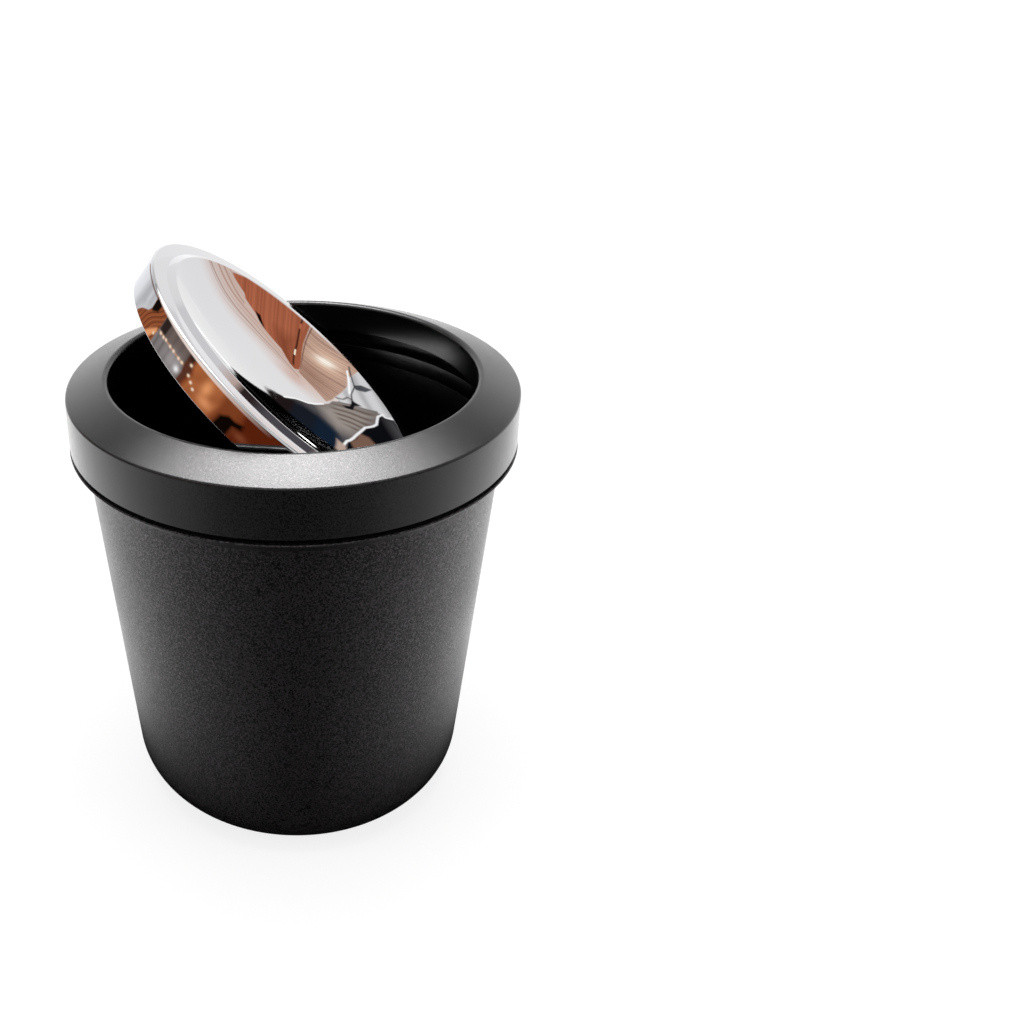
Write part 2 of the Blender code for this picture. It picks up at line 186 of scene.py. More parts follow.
corner = node(turn_tree, "ShaderNodeCombineXYZ", {
    0: product(turn_tree, section_point[0], maths(turn_tree, "COSINE", angle)),
    1: product(turn_tree, section_point[0], maths(turn_tree, "SINE", angle)), 2: section_point[2]})
placed = node(turn_tree, "GeometryNodeSetPosition", {
    "Geometry": grid.outputs["Mesh"], "Position": corner.outputs[0]})
closed = node(turn_tree, "GeometryNodeMergeByDistance", {
    "Geometry": placed.outputs[0], "Distance": given["Merge"]})
finish_tree(turn_tree, closed, given)

# %% [markdown]
# A second tree repeats one small shape round the axis, for webs, ribs, pillars and screws. It puts the
# shape on a few points, turns each copy a little further, and makes the copies real.

# %% Geometry Nodes: repeat a shape round the axis
ring_tree, given = new_tree("Repeat round the axis", [
    ("Count", "Int", 4), ("First Turn", "Float", 0.0), ("Finish", "Material", None)])
points = node(ring_tree, "GeometryNodeMeshLine", {"Count": given["Count"], "Offset": (0.0, 0.0, 0.0)})
index = node(ring_tree, "GeometryNodeInputIndex").outputs[0]
step = maths(ring_tree, "DIVIDE", math.tau, given["Count"])
turn = maths(ring_tree, "MULTIPLY_ADD", index, step, given["First Turn"])
copies = node(ring_tree, "GeometryNodeInstanceOnPoints", {
    "Points": points.outputs[0], "Instance": given["Geometry"],
    "Rotation": node(ring_tree, "ShaderNodeCombineXYZ", {2: turn}).outputs[0]})
real = node(ring_tree, "GeometryNodeRealizeInstances", {0: copies.outputs[0]})
finish_tree(ring_tree, real, given)

# %% [markdown]
# A tree's result only becomes a piece once it is a plain mesh. This helper sets the named inputs by their
# identifiers, reads the evaluated mesh, turns its faces outwards, and marks edges that are truly sharp.

# %% Helper: from a tree to a plain mesh
SHARP = math.radians(40)


def evaluated(made, name):
    """The mesh of an object after its modifiers."""
    seen = made.evaluated_get(bpy.context.evaluated_depsgraph_get())
    result = bpy.data.meshes.new_from_object(seen)
    result.name = name
    return result


def smoothed(mesh):
    """Shade a mesh smooth, but keep its truly sharp edges."""
    mesh.shade_smooth()
    mesh.set_sharp_from_angle(angle=SHARP)


def grown(name, mesh, tree, values, frame_matrix=None):
    """Run a geometry tree on a mesh and keep the result as a plain mesh object at the origin."""
    carrier = in_scene(name + "_carrier", mesh)
    modifier = carrier.modifiers.new("grow", "NODES")
    modifier.node_group = tree
    for item in tree.interface.items_tree:
        if item.item_type == "SOCKET" and item.in_out == "INPUT" and item.name in values:
            modifier[item.identifier] = values[item.name]
    result = evaluated(carrier, name)
    bpy.data.objects.remove(carrier)
    bm = bmesh.new()
    bm.from_mesh(result)
    bmesh.ops.recalc_face_normals(bm, faces=bm.faces)
    if frame_matrix is not None:
        bm.transform(frame_matrix)
    bm.to_mesh(result)
    bm.free()
    smoothed(result)
    return in_scene(name, result)


def turned(name, section, finish, loop=False, turns=360, frame_matrix=None):
    """One turned piece. A section that is a loop repeats its first point."""
    listed = list(section) + ([section[0]] if loop else [])
    mesh = bpy.data.meshes.new(name)
    mesh.from_pydata([(point[0], 0.0, point[1]) for point in listed], [], [])
    made = grown(name, mesh, turn_tree, {"Turns": turns, "Merge": MERGE, "Finish": finish}, frame_matrix)
    print(name, len(made.data.polygons), "faces")
    return made


def repeated(name, mesh, finish, count, first_turn=0.0):
    """Copies of one small shape round the axis, as one plain mesh."""
    return grown(name, mesh, ring_tree, {"Count": count, "First Turn": first_turn, "Finish": finish})


print("a piece keeps edges over", round(math.degrees(SHARP)), "degrees sharp")

# %% [markdown]
# Small shapes for the repeat tree, and for cutting holes, are either upright plates or round rods.
# Booleans then join them to a piece or cut them out, so each moulding stays one closed skin.

# %% Helpers: plates, rods, joining and cutting
ROD_TURNS = 48
ALONG_PINS = Matrix.Rotation(-math.pi / 2, 4, "X")
PIVOT_Z = 0.226402
at_pivot = Matrix.Translation((0.0, 0.0, PIVOT_Z))


def plate(name, outline, thickness):
    """A mesh from a flat (radius, height) outline with a thickness across the turn."""
    count = len(outline)
    corners = [(x, side * thickness / 2, z) for side in (-1, 1) for x, z in outline]
    sides = [(n, (n + 1) % count, count + (n + 1) % count, count + n) for n in range(count)]
    mesh = bpy.data.meshes.new(name)
    mesh.from_pydata(corners, [], [tuple(range(count)), tuple(range(2 * count - 1, count - 1, -1))] + sides)
    return mesh


def rod(name, radius, low, high, finish, frame_matrix=None):
    """A round rod on the axis between two heights."""
    outline = [(0, low), (radius, low), (radius, high), (0, high)]
    return turned(name, outline, finish, turns=ROD_TURNS, frame_matrix=frame_matrix)


def worked(piece, tool, operation):
    """Join a tool shape to a piece, or cut it out of it."""
    step = piece.modifiers.new(tool.name, "BOOLEAN")
    step.operation = operation
    step.solver = "EXACT"
    step.object = tool
    result = evaluated(piece, piece.name)
    piece.modifiers.clear()
    piece.data = result
    bpy.data.objects.remove(tool)
    smoothed(result)


def worked_at_pins(piece, name, radius, inner, outer, finish, operation, frame_matrix):
    """Join or cut a rod at both ends of the line of the pins."""
    for side in (-1, 1):
        low, high = sorted((side * inner, side * outer))
        worked(piece, rod(name, radius, low, high, finish, frame_matrix), operation)


print("line of the pins at", PIVOT_Z, "m")

# %% [markdown]
# Two finishes of black plastic are needed. The pail and the ring are spark-eroded: a very fine, even
# grain that scatters light into a satin sheen with tiny sparkles. The grain is an effect of its own, so
# it is a group that gives a height, a mask of flecks and a slow cloud from object coordinates.

# %% Shader group: fine moulded grain
CELL_SHARE = 0.6


def object_place(tree):
    """Object coordinates, as a socket."""
    return node(tree, "ShaderNodeTexCoord").outputs["Object"]


def noise(tree, place, scale, detail, roughness=0.5):
    """A noise texture, as a socket."""
    return node(tree, "ShaderNodeTexNoise", {
        "Vector": place, "Scale": scale, "Detail": detail, "Roughness": roughness}).outputs[0]


def span(tree, value, start, end, low=0.0, high=1.0, soft=False):
    """A value mapped to low at start and high at end, as a socket."""
    return node(tree, "ShaderNodeMapRange", {
        "Value": value, "From Min": start, "From Max": end, "To Min": low, "To Max": high},
        interpolation_type="SMOOTHSTEP" if soft else "LINEAR").outputs[0]


def shader_group(name, inputs, outputs):
    """An empty shader group with named sockets, and what its inputs give."""
    group = bpy.data.node_groups.new(name, "ShaderNodeTree")
    for label, value in inputs:
        socket = group.interface.new_socket(label, in_out="INPUT", socket_type="NodeSocketFloat")
        socket.default_value = value
    for label in outputs:
        group.interface.new_socket(label, in_out="OUTPUT", socket_type="NodeSocketFloat")
    return group, node(group, "NodeGroupInput").outputs


grain, given = shader_group(
    "Moulded grain", [("Grain Scale", 1600.0), ("Cloud Scale", 22.0), ("Sparkle", 0.5)],
    ["Height", "Speck", "Cloud"])
where = object_place(grain)
fine = noise(grain, where, given["Grain Scale"], 1.5, 0.6)
cells = noise(grain, where, product(grain, given["Grain Scale"], CELL_SHARE), 2.0, 0.8)
node(grain, "NodeGroupOutput", {
    "Height": maths(grain, "MULTIPLY_ADD", cells, given["Sparkle"], fine),
    "Speck": span(grain, cells, 0.42, 0.66, soft=True),
    "Cloud": noise(grain, where, given["Cloud Scale"], 3.0, 0.55)})
print("group:", grain.name)

# %% [markdown]
# The black plastic itself is nearly black under its surface. What is seen is the sheen: a satin
# reflection of the room that grows towards the edges, and flecks of the grain that shine a little like
# metal. The collar and the inside of the pail show no flecks, and the inside is a little duller.

# %% Finish: satin black plastic
FLOOR_R = 0.0868
DRAFT = math.radians(3.8)
TAPER = math.tan(DRAFT)
WALL = 0.0020
CORNER = 0.0251
COLLAR_Z = 0.216452
MOUTH_R = 0.086244
# How far past the collar's own sizes, and the inside's, their plainer look reaches.
LIP = 0.0009
COLLAR_BELOW = 0.0010
INSIDE_ABOVE = 0.0001
DULLER_INSIDE = 0.12
DEEP_BLACK = (0.0004, 0.0003, 0.0004)


def plain_material(name):
    """A new node material, its tree and its Principled shader."""
    made = bpy.data.materials.new(name)
    made.use_nodes = True
    return made, made.node_tree, made.node_tree.nodes["Principled BSDF"]


def blend(tree, factor, first, second, **settings):
    """Two colours mixed, as a socket."""
    return node(tree, "ShaderNodeMix", {0: factor, 6: first, 7: second},
                data_type="RGBA", **settings).outputs[2]


def black_plastic(name, grain_scale, dark, light, roughness, facet, level, bump, bump_distance):
    """A black plastic with moulded grain, whose flecks are as metallic as facet says."""
    made, tree, shader = plain_material(name)
    texture = node(tree, "ShaderNodeGroup", {"Grain Scale": grain_scale}, node_tree=grain).outputs
    x, y, z = node(tree, "ShaderNodeSeparateXYZ", {0: object_place(tree)}).outputs
    across = maths(tree, "SQRT", maths(tree, "ADD", product(tree, x, x), product(tree, y, y)))
    depth = maths(tree, "SUBTRACT", maths(tree, "MULTIPLY_ADD", z, TAPER, FLOOR_R), across)
    inside = product(tree, maths(tree, "GREATER_THAN", depth, WALL / 3),
                     maths(tree, "LESS_THAN", z, COLLAR_Z + INSIDE_ABOVE),
                     maths(tree, "GREATER_THAN", z, 2 * CORNER))
    collar = product(tree, maths(tree, "LESS_THAN", across, MOUTH_R + LIP),
                     maths(tree, "GREATER_THAN", z, COLLAR_Z - COLLAR_BELOW))
    grained = maths(tree, "SUBTRACT", 1.0, maths(tree, "MAXIMUM", inside, collar))
    flecks = product(tree, texture["Speck"], grained)
    rough = span(tree, texture["Cloud"], 0.3, 0.7, *roughness)
    relief = node(tree, "ShaderNodeBump", {
        "Height": texture["Height"], "Strength": bump, "Distance": bump_distance})
    feed(tree, shader, {
        "Base Color": blend(tree, flecks, dark, light), "Metallic": product(tree, flecks, facet),
        "Roughness": maths(tree, "MULTIPLY_ADD", inside, DULLER_INSIDE, rough),
        "Specular IOR Level": level, "Normal": relief.outputs[0]})
    return made


pail_black = black_plastic("pail_black", 1900.0, DEEP_BLACK, (0.1020, 0.0920, 0.1000),
                           roughness=(0.25, 0.31), facet=0.98, level=0.18, bump=1.0, bump_distance=0.00014)
ring_black = black_plastic("ring_black", 1900.0, DEEP_BLACK, (0.0580, 0.0550, 0.0570),
                           roughness=(0.20, 0.25), facet=0.97, level=0.47, bump=1.0, bump_distance=0.00006)
print("materials:", pail_black.name, ring_black.name)

# %% [markdown]
# Chrome plate is a mirror, so it is all metal, with a bright grey colour and a very low roughness. What
# makes it look real is what is slightly wrong: a faint waviness of the plating and fine wiping marks.

# %% Finish: chrome plate
wiping, given = shader_group("Wiping marks", [("Mark Scale", 260.0)], ["Mask"])
stretched = node(wiping, "ShaderNodeMapping", {
    "Vector": object_place(wiping), "Rotation": (0.0, 0.7, 0.5), "Scale": (1.0, 0.05, 1.0)})
streaks = noise(wiping, stretched.outputs[0], given["Mark Scale"], 3.0)
node(wiping, "NodeGroupOutput", {"Mask": span(wiping, streaks, 0.62, 0.75)})

chrome, tree, shader = plain_material("chrome_plate_finish")
marks = node(tree, "ShaderNodeGroup", node_tree=wiping).outputs[0]
relief = node(tree, "ShaderNodeBump", {
    "Height": noise(tree, object_place(tree), 45.0, 1.0), "Strength": 0.08, "Distance": 0.0004})
feed(tree, shader, {
    "Base Color": (0.57, 0.57, 0.575), "Metallic": 1.0,
    "Roughness": span(tree, marks, 0.0, 1.0, 0.018, 0.05), "Normal": relief.outputs[0]})
print("material:", chrome.name)

# %% [markdown]
# The hidden parts are plainer: the tray under the flap is moulded without polish, the pins and screws
# are steel, and the bushes that the pins turn in are pale acetal.

# %% Finishes: tray, steel and acetal
tray_black = black_plastic("tray_black", 900.0, (0.012, 0.012, 0.0125), (0.018, 0.018, 0.018),
                           roughness=(0.42, 0.55), facet=0.0, level=0.47, bump=0.3, bump_distance=0.00006)
steel, tree, shader = plain_material("turned_steel")
lathe = noise(tree, object_place(tree), 2500.0, 2.0)
feed(tree, shader, {
    "Base Color": blend(tree, lathe, (0.42, 0.42, 0.43), (0.66, 0.66, 0.67)), "Metallic": 1.0,
    "Roughness": span(tree, lathe, 0.0, 1.0, 0.2, 0.4)})
acetal, tree, shader = plain_material("natural_acetal")
milky = noise(tree, object_place(tree), 700.0, 2.0)
feed(tree, shader, {
    "Base Color": blend(tree, milky, (0.76, 0.75, 0.71), (0.84, 0.83, 0.80)), "Roughness": 0.4})
print("materials:", tray_black.name, steel.name, acetal.name)

# %% [markdown]
# The pail is one moulding: a foot ring, a large bottom radius, a straight taper of 3.8 degrees, and a
# slanted bead round the rim with a seat cut inside it for the ring. Its sizes are those of the packed
# model, with finer arcs, so the outline stays exactly the same and the highlights run smoothly.

# %% Pail
BEAD_TOP_Z = 0.1994
BEAD_LOW_Z = 0.1934
BEAD_EDGE = 0.0005
SEAT_Z = 0.1954
BAND_R = 0.106944
BEAD_TOP_R = 0.107244
BEAD_LOW_R = 0.101796
FOOT_R = 0.0550
FOOT_RECESS = 0.0015
SEAT_INNER_R = 0.097774
SKIRT_INNER_R = 0.098074
SKIRT_OUTER_R = 0.100074
SOCKET_R = 0.100374
wall_across = WALL / math.cos(DRAFT)
pail_section = rounded([
    (0, FOOT_RECESS, 0), (FOOT_R, FOOT_RECESS, 0.0004), (FOOT_R + FOOT_RECESS, 0, 0.0004),
    (FLOOR_R, 0, CORNER), (FLOOR_R + BEAD_LOW_Z * TAPER, BEAD_LOW_Z, 0.0003),
    (BEAD_LOW_R, BEAD_LOW_Z, 0.0005), (BEAD_TOP_R, BEAD_TOP_Z - BEAD_EDGE, 0.0002),
    (BEAD_TOP_R - BEAD_EDGE, BEAD_TOP_Z, 0.0002), (SOCKET_R, BEAD_TOP_Z, 0.0002), (SOCKET_R, SEAT_Z, 0.0002),
    (SEAT_INNER_R, SEAT_Z, 0.0002), (FLOOR_R + WALL * TAPER - wall_across, WALL, CORNER - WALL),
    (FOOT_R + FOOT_RECESS, WALL, 0.0006), (FOOT_R, FOOT_RECESS + WALL, 0.0006), (0, FOOT_RECESS + WALL, 0),
])
pail = turned("pail", pail_section, pail_black)
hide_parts("bin_body")
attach(pail, "bin")

# %% [markdown]
# The ring is a second turned moulding: an upright band, a slope of twenty degrees, a soft lip into the
# mouth, a short collar, and a skirt that drops into the pail's seat. A dark gap shows between the two.

# %% Ring
BAND_BOTTOM_Z = 0.2017
BAND_TOP_R = 0.106444
BAND_TOP_Z = 0.2251
MOUTH_Z = 0.232452
SLOPE = math.radians(20.0)
RING_WALL = 0.0020
collar_outer_r = MOUTH_R + RING_WALL
under = RING_WALL / math.cos(SLOPE)


def slope_z(radius):
    """Height of the ring's slope at a radius."""
    return BAND_TOP_Z + (BAND_TOP_R - radius) * math.tan(SLOPE)


ring_section = rounded([
    (BAND_R, BAND_BOTTOM_Z, 0.0004), (BAND_TOP_R, BAND_TOP_Z, 0.0015), (MOUTH_R, MOUTH_Z, 0.0022),
    (MOUTH_R, COLLAR_Z, 0.0004), (collar_outer_r, COLLAR_Z, 0.0004),
    (collar_outer_r, slope_z(collar_outer_r) - under, 0.0006),
    (BAND_TOP_R - RING_WALL, slope_z(BAND_TOP_R - RING_WALL) - under, 0.0006),
    (BAND_R - RING_WALL, BAND_BOTTOM_Z + RING_WALL, 0.0003),
    (SKIRT_INNER_R, BAND_BOTTOM_Z + RING_WALL, 0.0003), (SKIRT_INNER_R, SEAT_Z, 0.0003),
    (SKIRT_OUTER_R, SEAT_Z, 0.0003), (SKIRT_OUTER_R, BAND_BOTTOM_Z, 0.0002),
])
lid = turned("lid", ring_section, ring_black, loop=True)

# %% [markdown]
# Under the slope the ring is stiffened by twelve webs, and it carries a blind boss at each end of the
# pin line, bored for a bush. The webs repeat, so the second tree makes them. All of it is out of sight
# when the bin stands, but a ring that is lifted off shows it.

# %% Ring: webs and pivot bosses
WEB_T = 0.0014
WEB_COLLAR_DROP = 0.0120
WEB_BAND_DROP = 0.0060
BITE = 0.0005
SOCKET_HOLE_R = 0.0027
BOSS_WALL = 0.0011
BOSS_END = 0.0010
BUSH_END_Y = 0.089644
web_inner = collar_outer_r - BITE
web_outer = BAND_TOP_R - RING_WALL + BITE
web_top = RING_WALL - BITE
web = plate("web", [
    (web_inner, slope_z(web_inner) - web_top), (web_inner, slope_z(web_inner) - WEB_COLLAR_DROP),
    (web_outer, slope_z(web_outer) - WEB_BAND_DROP), (web_outer, slope_z(web_outer) - web_top)], WEB_T)
worked(lid, repeated("webs", web, ring_black, 12, math.pi / 12), "UNION")
worked_at_pins(lid, "boss", SOCKET_HOLE_R + BOSS_WALL, MOUTH_R + RING_WALL / 2, BUSH_END_Y + BOSS_END,
               ring_black, "UNION", at_pivot @ ALONG_PINS)
worked_at_pins(lid, "bore", SOCKET_HOLE_R, MOUTH_R - BITE, BUSH_END_Y,
               ring_black, "DIFFERENCE", at_pivot @ ALONG_PINS)
print("lid", len(lid.data.polygons), "faces")
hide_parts("lid_ring")
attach(lid, "ring")

# %% [markdown]
# The flap is the showpiece: a chrome shell with a flat rim, a low rounded crest, a shallow dish that is
# steepest near its edge, and a deep skirt. It is drawn level about the pins and then tilted open.

# %% Flap shell
FLAP_OPEN = math.radians(42.0)
FLAP_R = 0.085044
RIM_Z = 0.00315
RIM_W = 0.0080
CREST_W = 0.0036
DISH_R = FLAP_R - RIM_W - CREST_W
CREST_H = 0.0019
DISH_DEPTH = 0.0050
DISH_POWER = 3.5
DISH_STEPS = 72
TOP_T = 0.0015
SKIRT_H = 0.0151
SKIRT_DRAFT = 0.0010
SKIRT_BOTTOM = RIM_Z - SKIRT_H
SKIRT_LOW_R = FLAP_R - SKIRT_DRAFT
SKIRT_T = 0.0018
open_flap = at_pivot @ Matrix.Rotation(FLAP_OPEN, 4, "Y")


def dish_z(radius):
    """Height of the dish at a radius, above the pins."""
    return RIM_Z + CREST_H - DISH_DEPTH * (1 - (radius / DISH_R) ** DISH_POWER)


dish = [DISH_R * number / DISH_STEPS for number in range(DISH_STEPS)]
flap_section = rounded(
    [(radius, dish_z(radius), 0) for radius in dish]
    + [(DISH_R, RIM_Z + CREST_H, 0.0010), (FLAP_R - RIM_W, RIM_Z, 0.0010), (FLAP_R, RIM_Z, 0.0012),
       (SKIRT_LOW_R, SKIRT_BOTTOM, 0.0004), (SKIRT_LOW_R - SKIRT_T, SKIRT_BOTTOM, 0.0004),
       (FLAP_R - SKIRT_T, RIM_Z - TOP_T, 0.0006), (FLAP_R - RIM_W, RIM_Z - TOP_T, 0.0006),
       (DISH_R, RIM_Z + CREST_H - TOP_T, 0.0006)]
    + [(radius, dish_z(radius) - TOP_T, 0) for radius in reversed(dish[::8])])
flap = turned("flap", flap_section, chrome)

# %% [markdown]
# Inside, four pillars take the screws that hold the tray, and the skirt has a hole at each end for a
# pin. The pillars repeat, so they come from the second tree. Then the whole shell is tilted open.

# %% Flap shell: pillars, pilot holes and pin holes
PIN_R = 0.00125
PLAY = 0.0003
SCREW_R = 0.00125
SCREW_LENGTH = 0.0070
SCREW_PITCH_R = 0.0520
PILLAR_R = 0.0033
TRAY_T = 0.0020
TRAY_INSET = 0.0020
TRAY_LOW_Z = SKIRT_BOTTOM + TRAY_INSET
tray_top_z = TRAY_LOW_Z + TRAY_T


def at_screws(name, made, finish):
    """Four copies of a shape that is drawn on the axis, one at each screw."""
    mesh = made.data
    bpy.data.objects.remove(made)
    mesh.transform(Matrix.Translation((SCREW_PITCH_R, 0.0, 0.0)))
    return repeated(name, mesh, finish, 4, math.pi / 4)


pillar = rod("pillar", PILLAR_R, tray_top_z, dish_z(SCREW_PITCH_R) - TOP_T / 2, chrome)
worked(flap, at_screws("pillars", pillar, chrome), "UNION")
pilot = rod("pilot", SCREW_R + PLAY, tray_top_z - BITE, TRAY_LOW_Z + SCREW_LENGTH + PLAY, chrome)
worked(flap, at_screws("pilots", pilot, chrome), "DIFFERENCE")
worked_at_pins(flap, "pin_hole", PIN_R + PLAY, SKIRT_LOW_R - SKIRT_T - BITE, FLAP_R + BITE,
               chrome, "DIFFERENCE", ALONG_PINS)
flap.data.transform(open_flap)
print("flap", len(flap.data.polygons), "faces")
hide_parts("flap_shell")
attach(flap, "flap")

# %% [markdown]
# A flat moulded tray closes the flap from below. It has a rounded lower edge, a lip, a hub with eight
# ribs, a slotted cradle for each pin and four screw holes. It shows from behind, because the open flap
# turns its underside that way.

# %% Tray
TRAY_R = SKIRT_LOW_R - SKIRT_T - PLAY
HUB_R = 0.0140
RIB_T = 0.0012
RIB_H = 0.0030
CRADLE_W = 0.0070
CRADLE_LENGTH = 0.0090
PIN_IN_CRADLE = 0.0080
LIP_H = 0.0050
lip_z = tray_top_z + LIP_H
tray_section = rounded([
    (0, TRAY_LOW_Z, 0), (TRAY_R, TRAY_LOW_Z, 0.0010), (TRAY_R, lip_z, 0.0003),
    (TRAY_R - TRAY_T, lip_z, 0.0003), (TRAY_R - TRAY_T, tray_top_z, 0.0003),
    (HUB_R, tray_top_z, 0.0003), (HUB_R, tray_top_z + RIB_H, 0.0003),
    (HUB_R - TRAY_T, tray_top_z + RIB_H, 0.0003), (HUB_R - TRAY_T, tray_top_z, 0.0003), (0, tray_top_z, 0),
])
tray = turned("tray", tray_section, tray_black, turns=240)
rib_inner = HUB_R - TRAY_T / 2
rib_outer = TRAY_R - TRAY_T / 2
rib_low = tray_top_z - TRAY_T / 2
rib_high = tray_top_z + RIB_H
rib = plate("rib", [(rib_inner, rib_low), (rib_outer, rib_low), (rib_outer, rib_high),
                    (rib_inner, rib_high - TRAY_T / 2)], RIB_T)
worked(tray, repeated("ribs", rib, tray_black, 8, math.pi / 8), "UNION")
cradle_top = RIM_Z - TOP_T - PLAY
cradle_inner = TRAY_R - PLAY - CRADLE_LENGTH
cradle = plate("cradle", [(cradle_inner, rib_low), (rib_outer, rib_low), (rib_outer, cradle_top),
                          (cradle_inner, cradle_top)], CRADLE_W)
worked(tray, repeated("cradles", cradle, tray_black, 2, math.pi / 2), "UNION")
slot_inner = TRAY_R - PIN_IN_CRADLE - PLAY
slot = plate("slot", [(slot_inner, 0), (TRAY_R + BITE, 0), (TRAY_R + BITE, cradle_top + BITE),
                      (slot_inner, cradle_top + BITE)], 2 * (PIN_R + PLAY))
worked(tray, repeated("slots", slot, tray_black, 2, math.pi / 2), "DIFFERENCE")
worked_at_pins(tray, "groove", PIN_R + PLAY, slot_inner, TRAY_R + BITE,
               tray_black, "DIFFERENCE", ALONG_PINS)
hole = rod("hole", SCREW_R + PLAY, TRAY_LOW_Z - BITE, rib_high, tray_black)
worked(tray, at_screws("screw_holes", hole, tray_black), "DIFFERENCE")
tray.data.transform(open_flap)
print("tray", len(tray.data.polygons), "faces")
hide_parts("flap_base")
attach(tray, "flap")

# %% [markdown]
# Four pan-head screws hold the tray. One is drawn with a threaded shank and a cross recess cut into its
# head, and the tree repeats it. The thread is a stack of ridges, because a true helix can't be seen.

# %% Screws
HEAD_R = 0.0028
HEAD_H = 0.0015
THREAD_PITCH = 0.0005
THREAD_DEPTH = 0.0002
THREAD_START = 0.0010
PLAIN_SHANK = 0.0025
RECESS_R = 0.0016
RECESS_END_R = 0.0007
RECESS_DEPTH = 0.0010
RECESS_T = 0.0005
head_low = TRAY_LOW_Z - HEAD_H
screw_tip = TRAY_LOW_Z + SCREW_LENGTH
thread = []
for number in range(int((SCREW_LENGTH - PLAIN_SHANK) / THREAD_PITCH)):
    low = TRAY_LOW_Z + THREAD_START + number * THREAD_PITCH
    thread += [(SCREW_R - THREAD_DEPTH, low, 0), (SCREW_R, low + THREAD_PITCH / 2, 0)]
screw_section = rounded(
    [(0, head_low, 0), (HEAD_R, head_low, 0.0006), (HEAD_R, TRAY_LOW_Z, 0), (SCREW_R, TRAY_LOW_Z, 0)]
    + thread
    + [(SCREW_R - THREAD_DEPTH, screw_tip - SCREW_R, 0), (SCREW_R / 2, screw_tip, 0), (0, screw_tip, 0)])
screw = turned("screw", screw_section, steel, turns=32)
recess = [(-RECESS_R, head_low - RECESS_DEPTH), (RECESS_R, head_low - RECESS_DEPTH), (RECESS_R, head_low),
          (RECESS_END_R, head_low + RECESS_DEPTH), (-RECESS_END_R, head_low + RECESS_DEPTH),
          (-RECESS_R, head_low)]
for turn in (0.0, math.pi / 2):
    bar = repeated("recess", plate("recess", recess, RECESS_T), steel, 1, turn)
    worked(screw, bar, "DIFFERENCE")
screws = at_screws("screws", screw, steel)
screws.data.transform(open_flap)
print("screws", len(screws.data.polygons), "faces")
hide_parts("flap_screw_1", "flap_screw_2", "flap_screw_3", "flap_screw_4")
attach(screws, "flap")

# %% [markdown]
# The pins and bushes stay as the CAD drew them, with finer finishes.

# %% Finishes of the carried-over pieces
kept = {"pivot_pin_front": steel, "pivot_pin_back": steel,
        "pivot_bush_front": acetal, "pivot_bush_back": acetal}
for name, finish in kept.items():
    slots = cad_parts[name].data.materials
    slots.clear()
    slots.append(finish)
print("refinished:", sorted(kept))

# %% [markdown]
# The floor is plain and pale. The camera sees it white with only a soft shadow. Mirror rays see it glow
# instead, as a painted reflection: bright behind and beside the bin and dark in front, as in a room with a
# white sweep, with a painted shadow right at the foot and a painted brighter patch a little further out
# at the sides.

# %% Floor
SWEEP = 6.0
WHITE = (1.0, 1.0, 1.0)
NEAR_GAIN = 5.0


def bare(made):
    """The tree of a material or world, emptied."""
    made.use_nodes = True
    made.node_tree.nodes.clear()
    return made.node_tree


def ramp(tree, factor, stops, interpolation="LINEAR"):
    """A colour ramp with (place, grey or colour) stops, as its colour socket."""
    made = node(tree, "ShaderNodeValToRGB", {0: factor})
    made.color_ramp.interpolation = interpolation
    band = made.color_ramp.elements
    while len(band) < len(stops):
        band.new(0.5)
    for element, (place, value) in zip(band, stops):
        element.position = place
        colour = value if isinstance(value, tuple) else (value, value, value)
        element.color = (*colour, 1.0)
    return made.outputs[0]


def turn_and_height(tree, vector):
    """The turn about the bin, 0 behind it and pi or -pi in front, and the height, as sockets."""
    x, y, z = node(tree, "ShaderNodeSeparateXYZ", {0: vector}).outputs
    return maths(tree, "ARCTAN2", x, y), z


def glowing(tree, strength, colour=WHITE, kind="ShaderNodeEmission"):
    """An emission or background shader, as a socket."""
    return node(tree, kind, {"Color": colour, "Strength": strength}).outputs[0]


def either(tree, factor, first, second):
    """The first shader at 0 and the second at 1, as a socket."""
    return node(tree, "ShaderNodeMixShader", {0: factor, 1: first, 2: second}).outputs[0]


def sheet(name, half_x, half_y, order, paint):
    """A flat painted rectangle, with its corners taken in the order given."""
    mesh = bpy.data.meshes.new(name)
    corners = [(x * half_x, y * half_y, 0) for x, y in ((-1, -1), (1, -1), (1, 1), (-1, 1))]
    mesh.from_pydata(corners, [], [order])
    mesh.materials.append(paint)
    return in_scene(name, mesh)


floor_paint = bpy.data.materials.new("floor_sweep")
tree = bare(floor_paint)
where = object_place(tree)
turn = turn_and_height(tree, where)[0]
front = maths(tree, "DIVIDE", maths(tree, "ABSOLUTE", turn), math.pi)
reach = node(tree, "ShaderNodeVectorMath", {0: where}, operation="LENGTH").outputs["Value"]
# Painted room light for mirror rays: bright behind and beside the bin, dark in front.
side = ramp(tree, front, [(0.0, 0.80), (0.35, 0.86), (0.45, 0.84), (0.50, 0.79), (0.58, 0.61), (0.70, 0.34),
                          (0.84, 0.11), (0.95, 0.05), (1.0, 0.04)], "EASE")
# Painted shadow for mirror rays: dark at the foot, growing bright out to about 0.27 m.
clear = span(tree, reach, 0.085, 0.27, 0.0, 1.7, soft=True)
far_gain = span(tree, reach, 0.28, 0.46, 1.0, 1.2)
horizon = span(tree, reach, 0.7, 1.5, 1.0, 0.70)
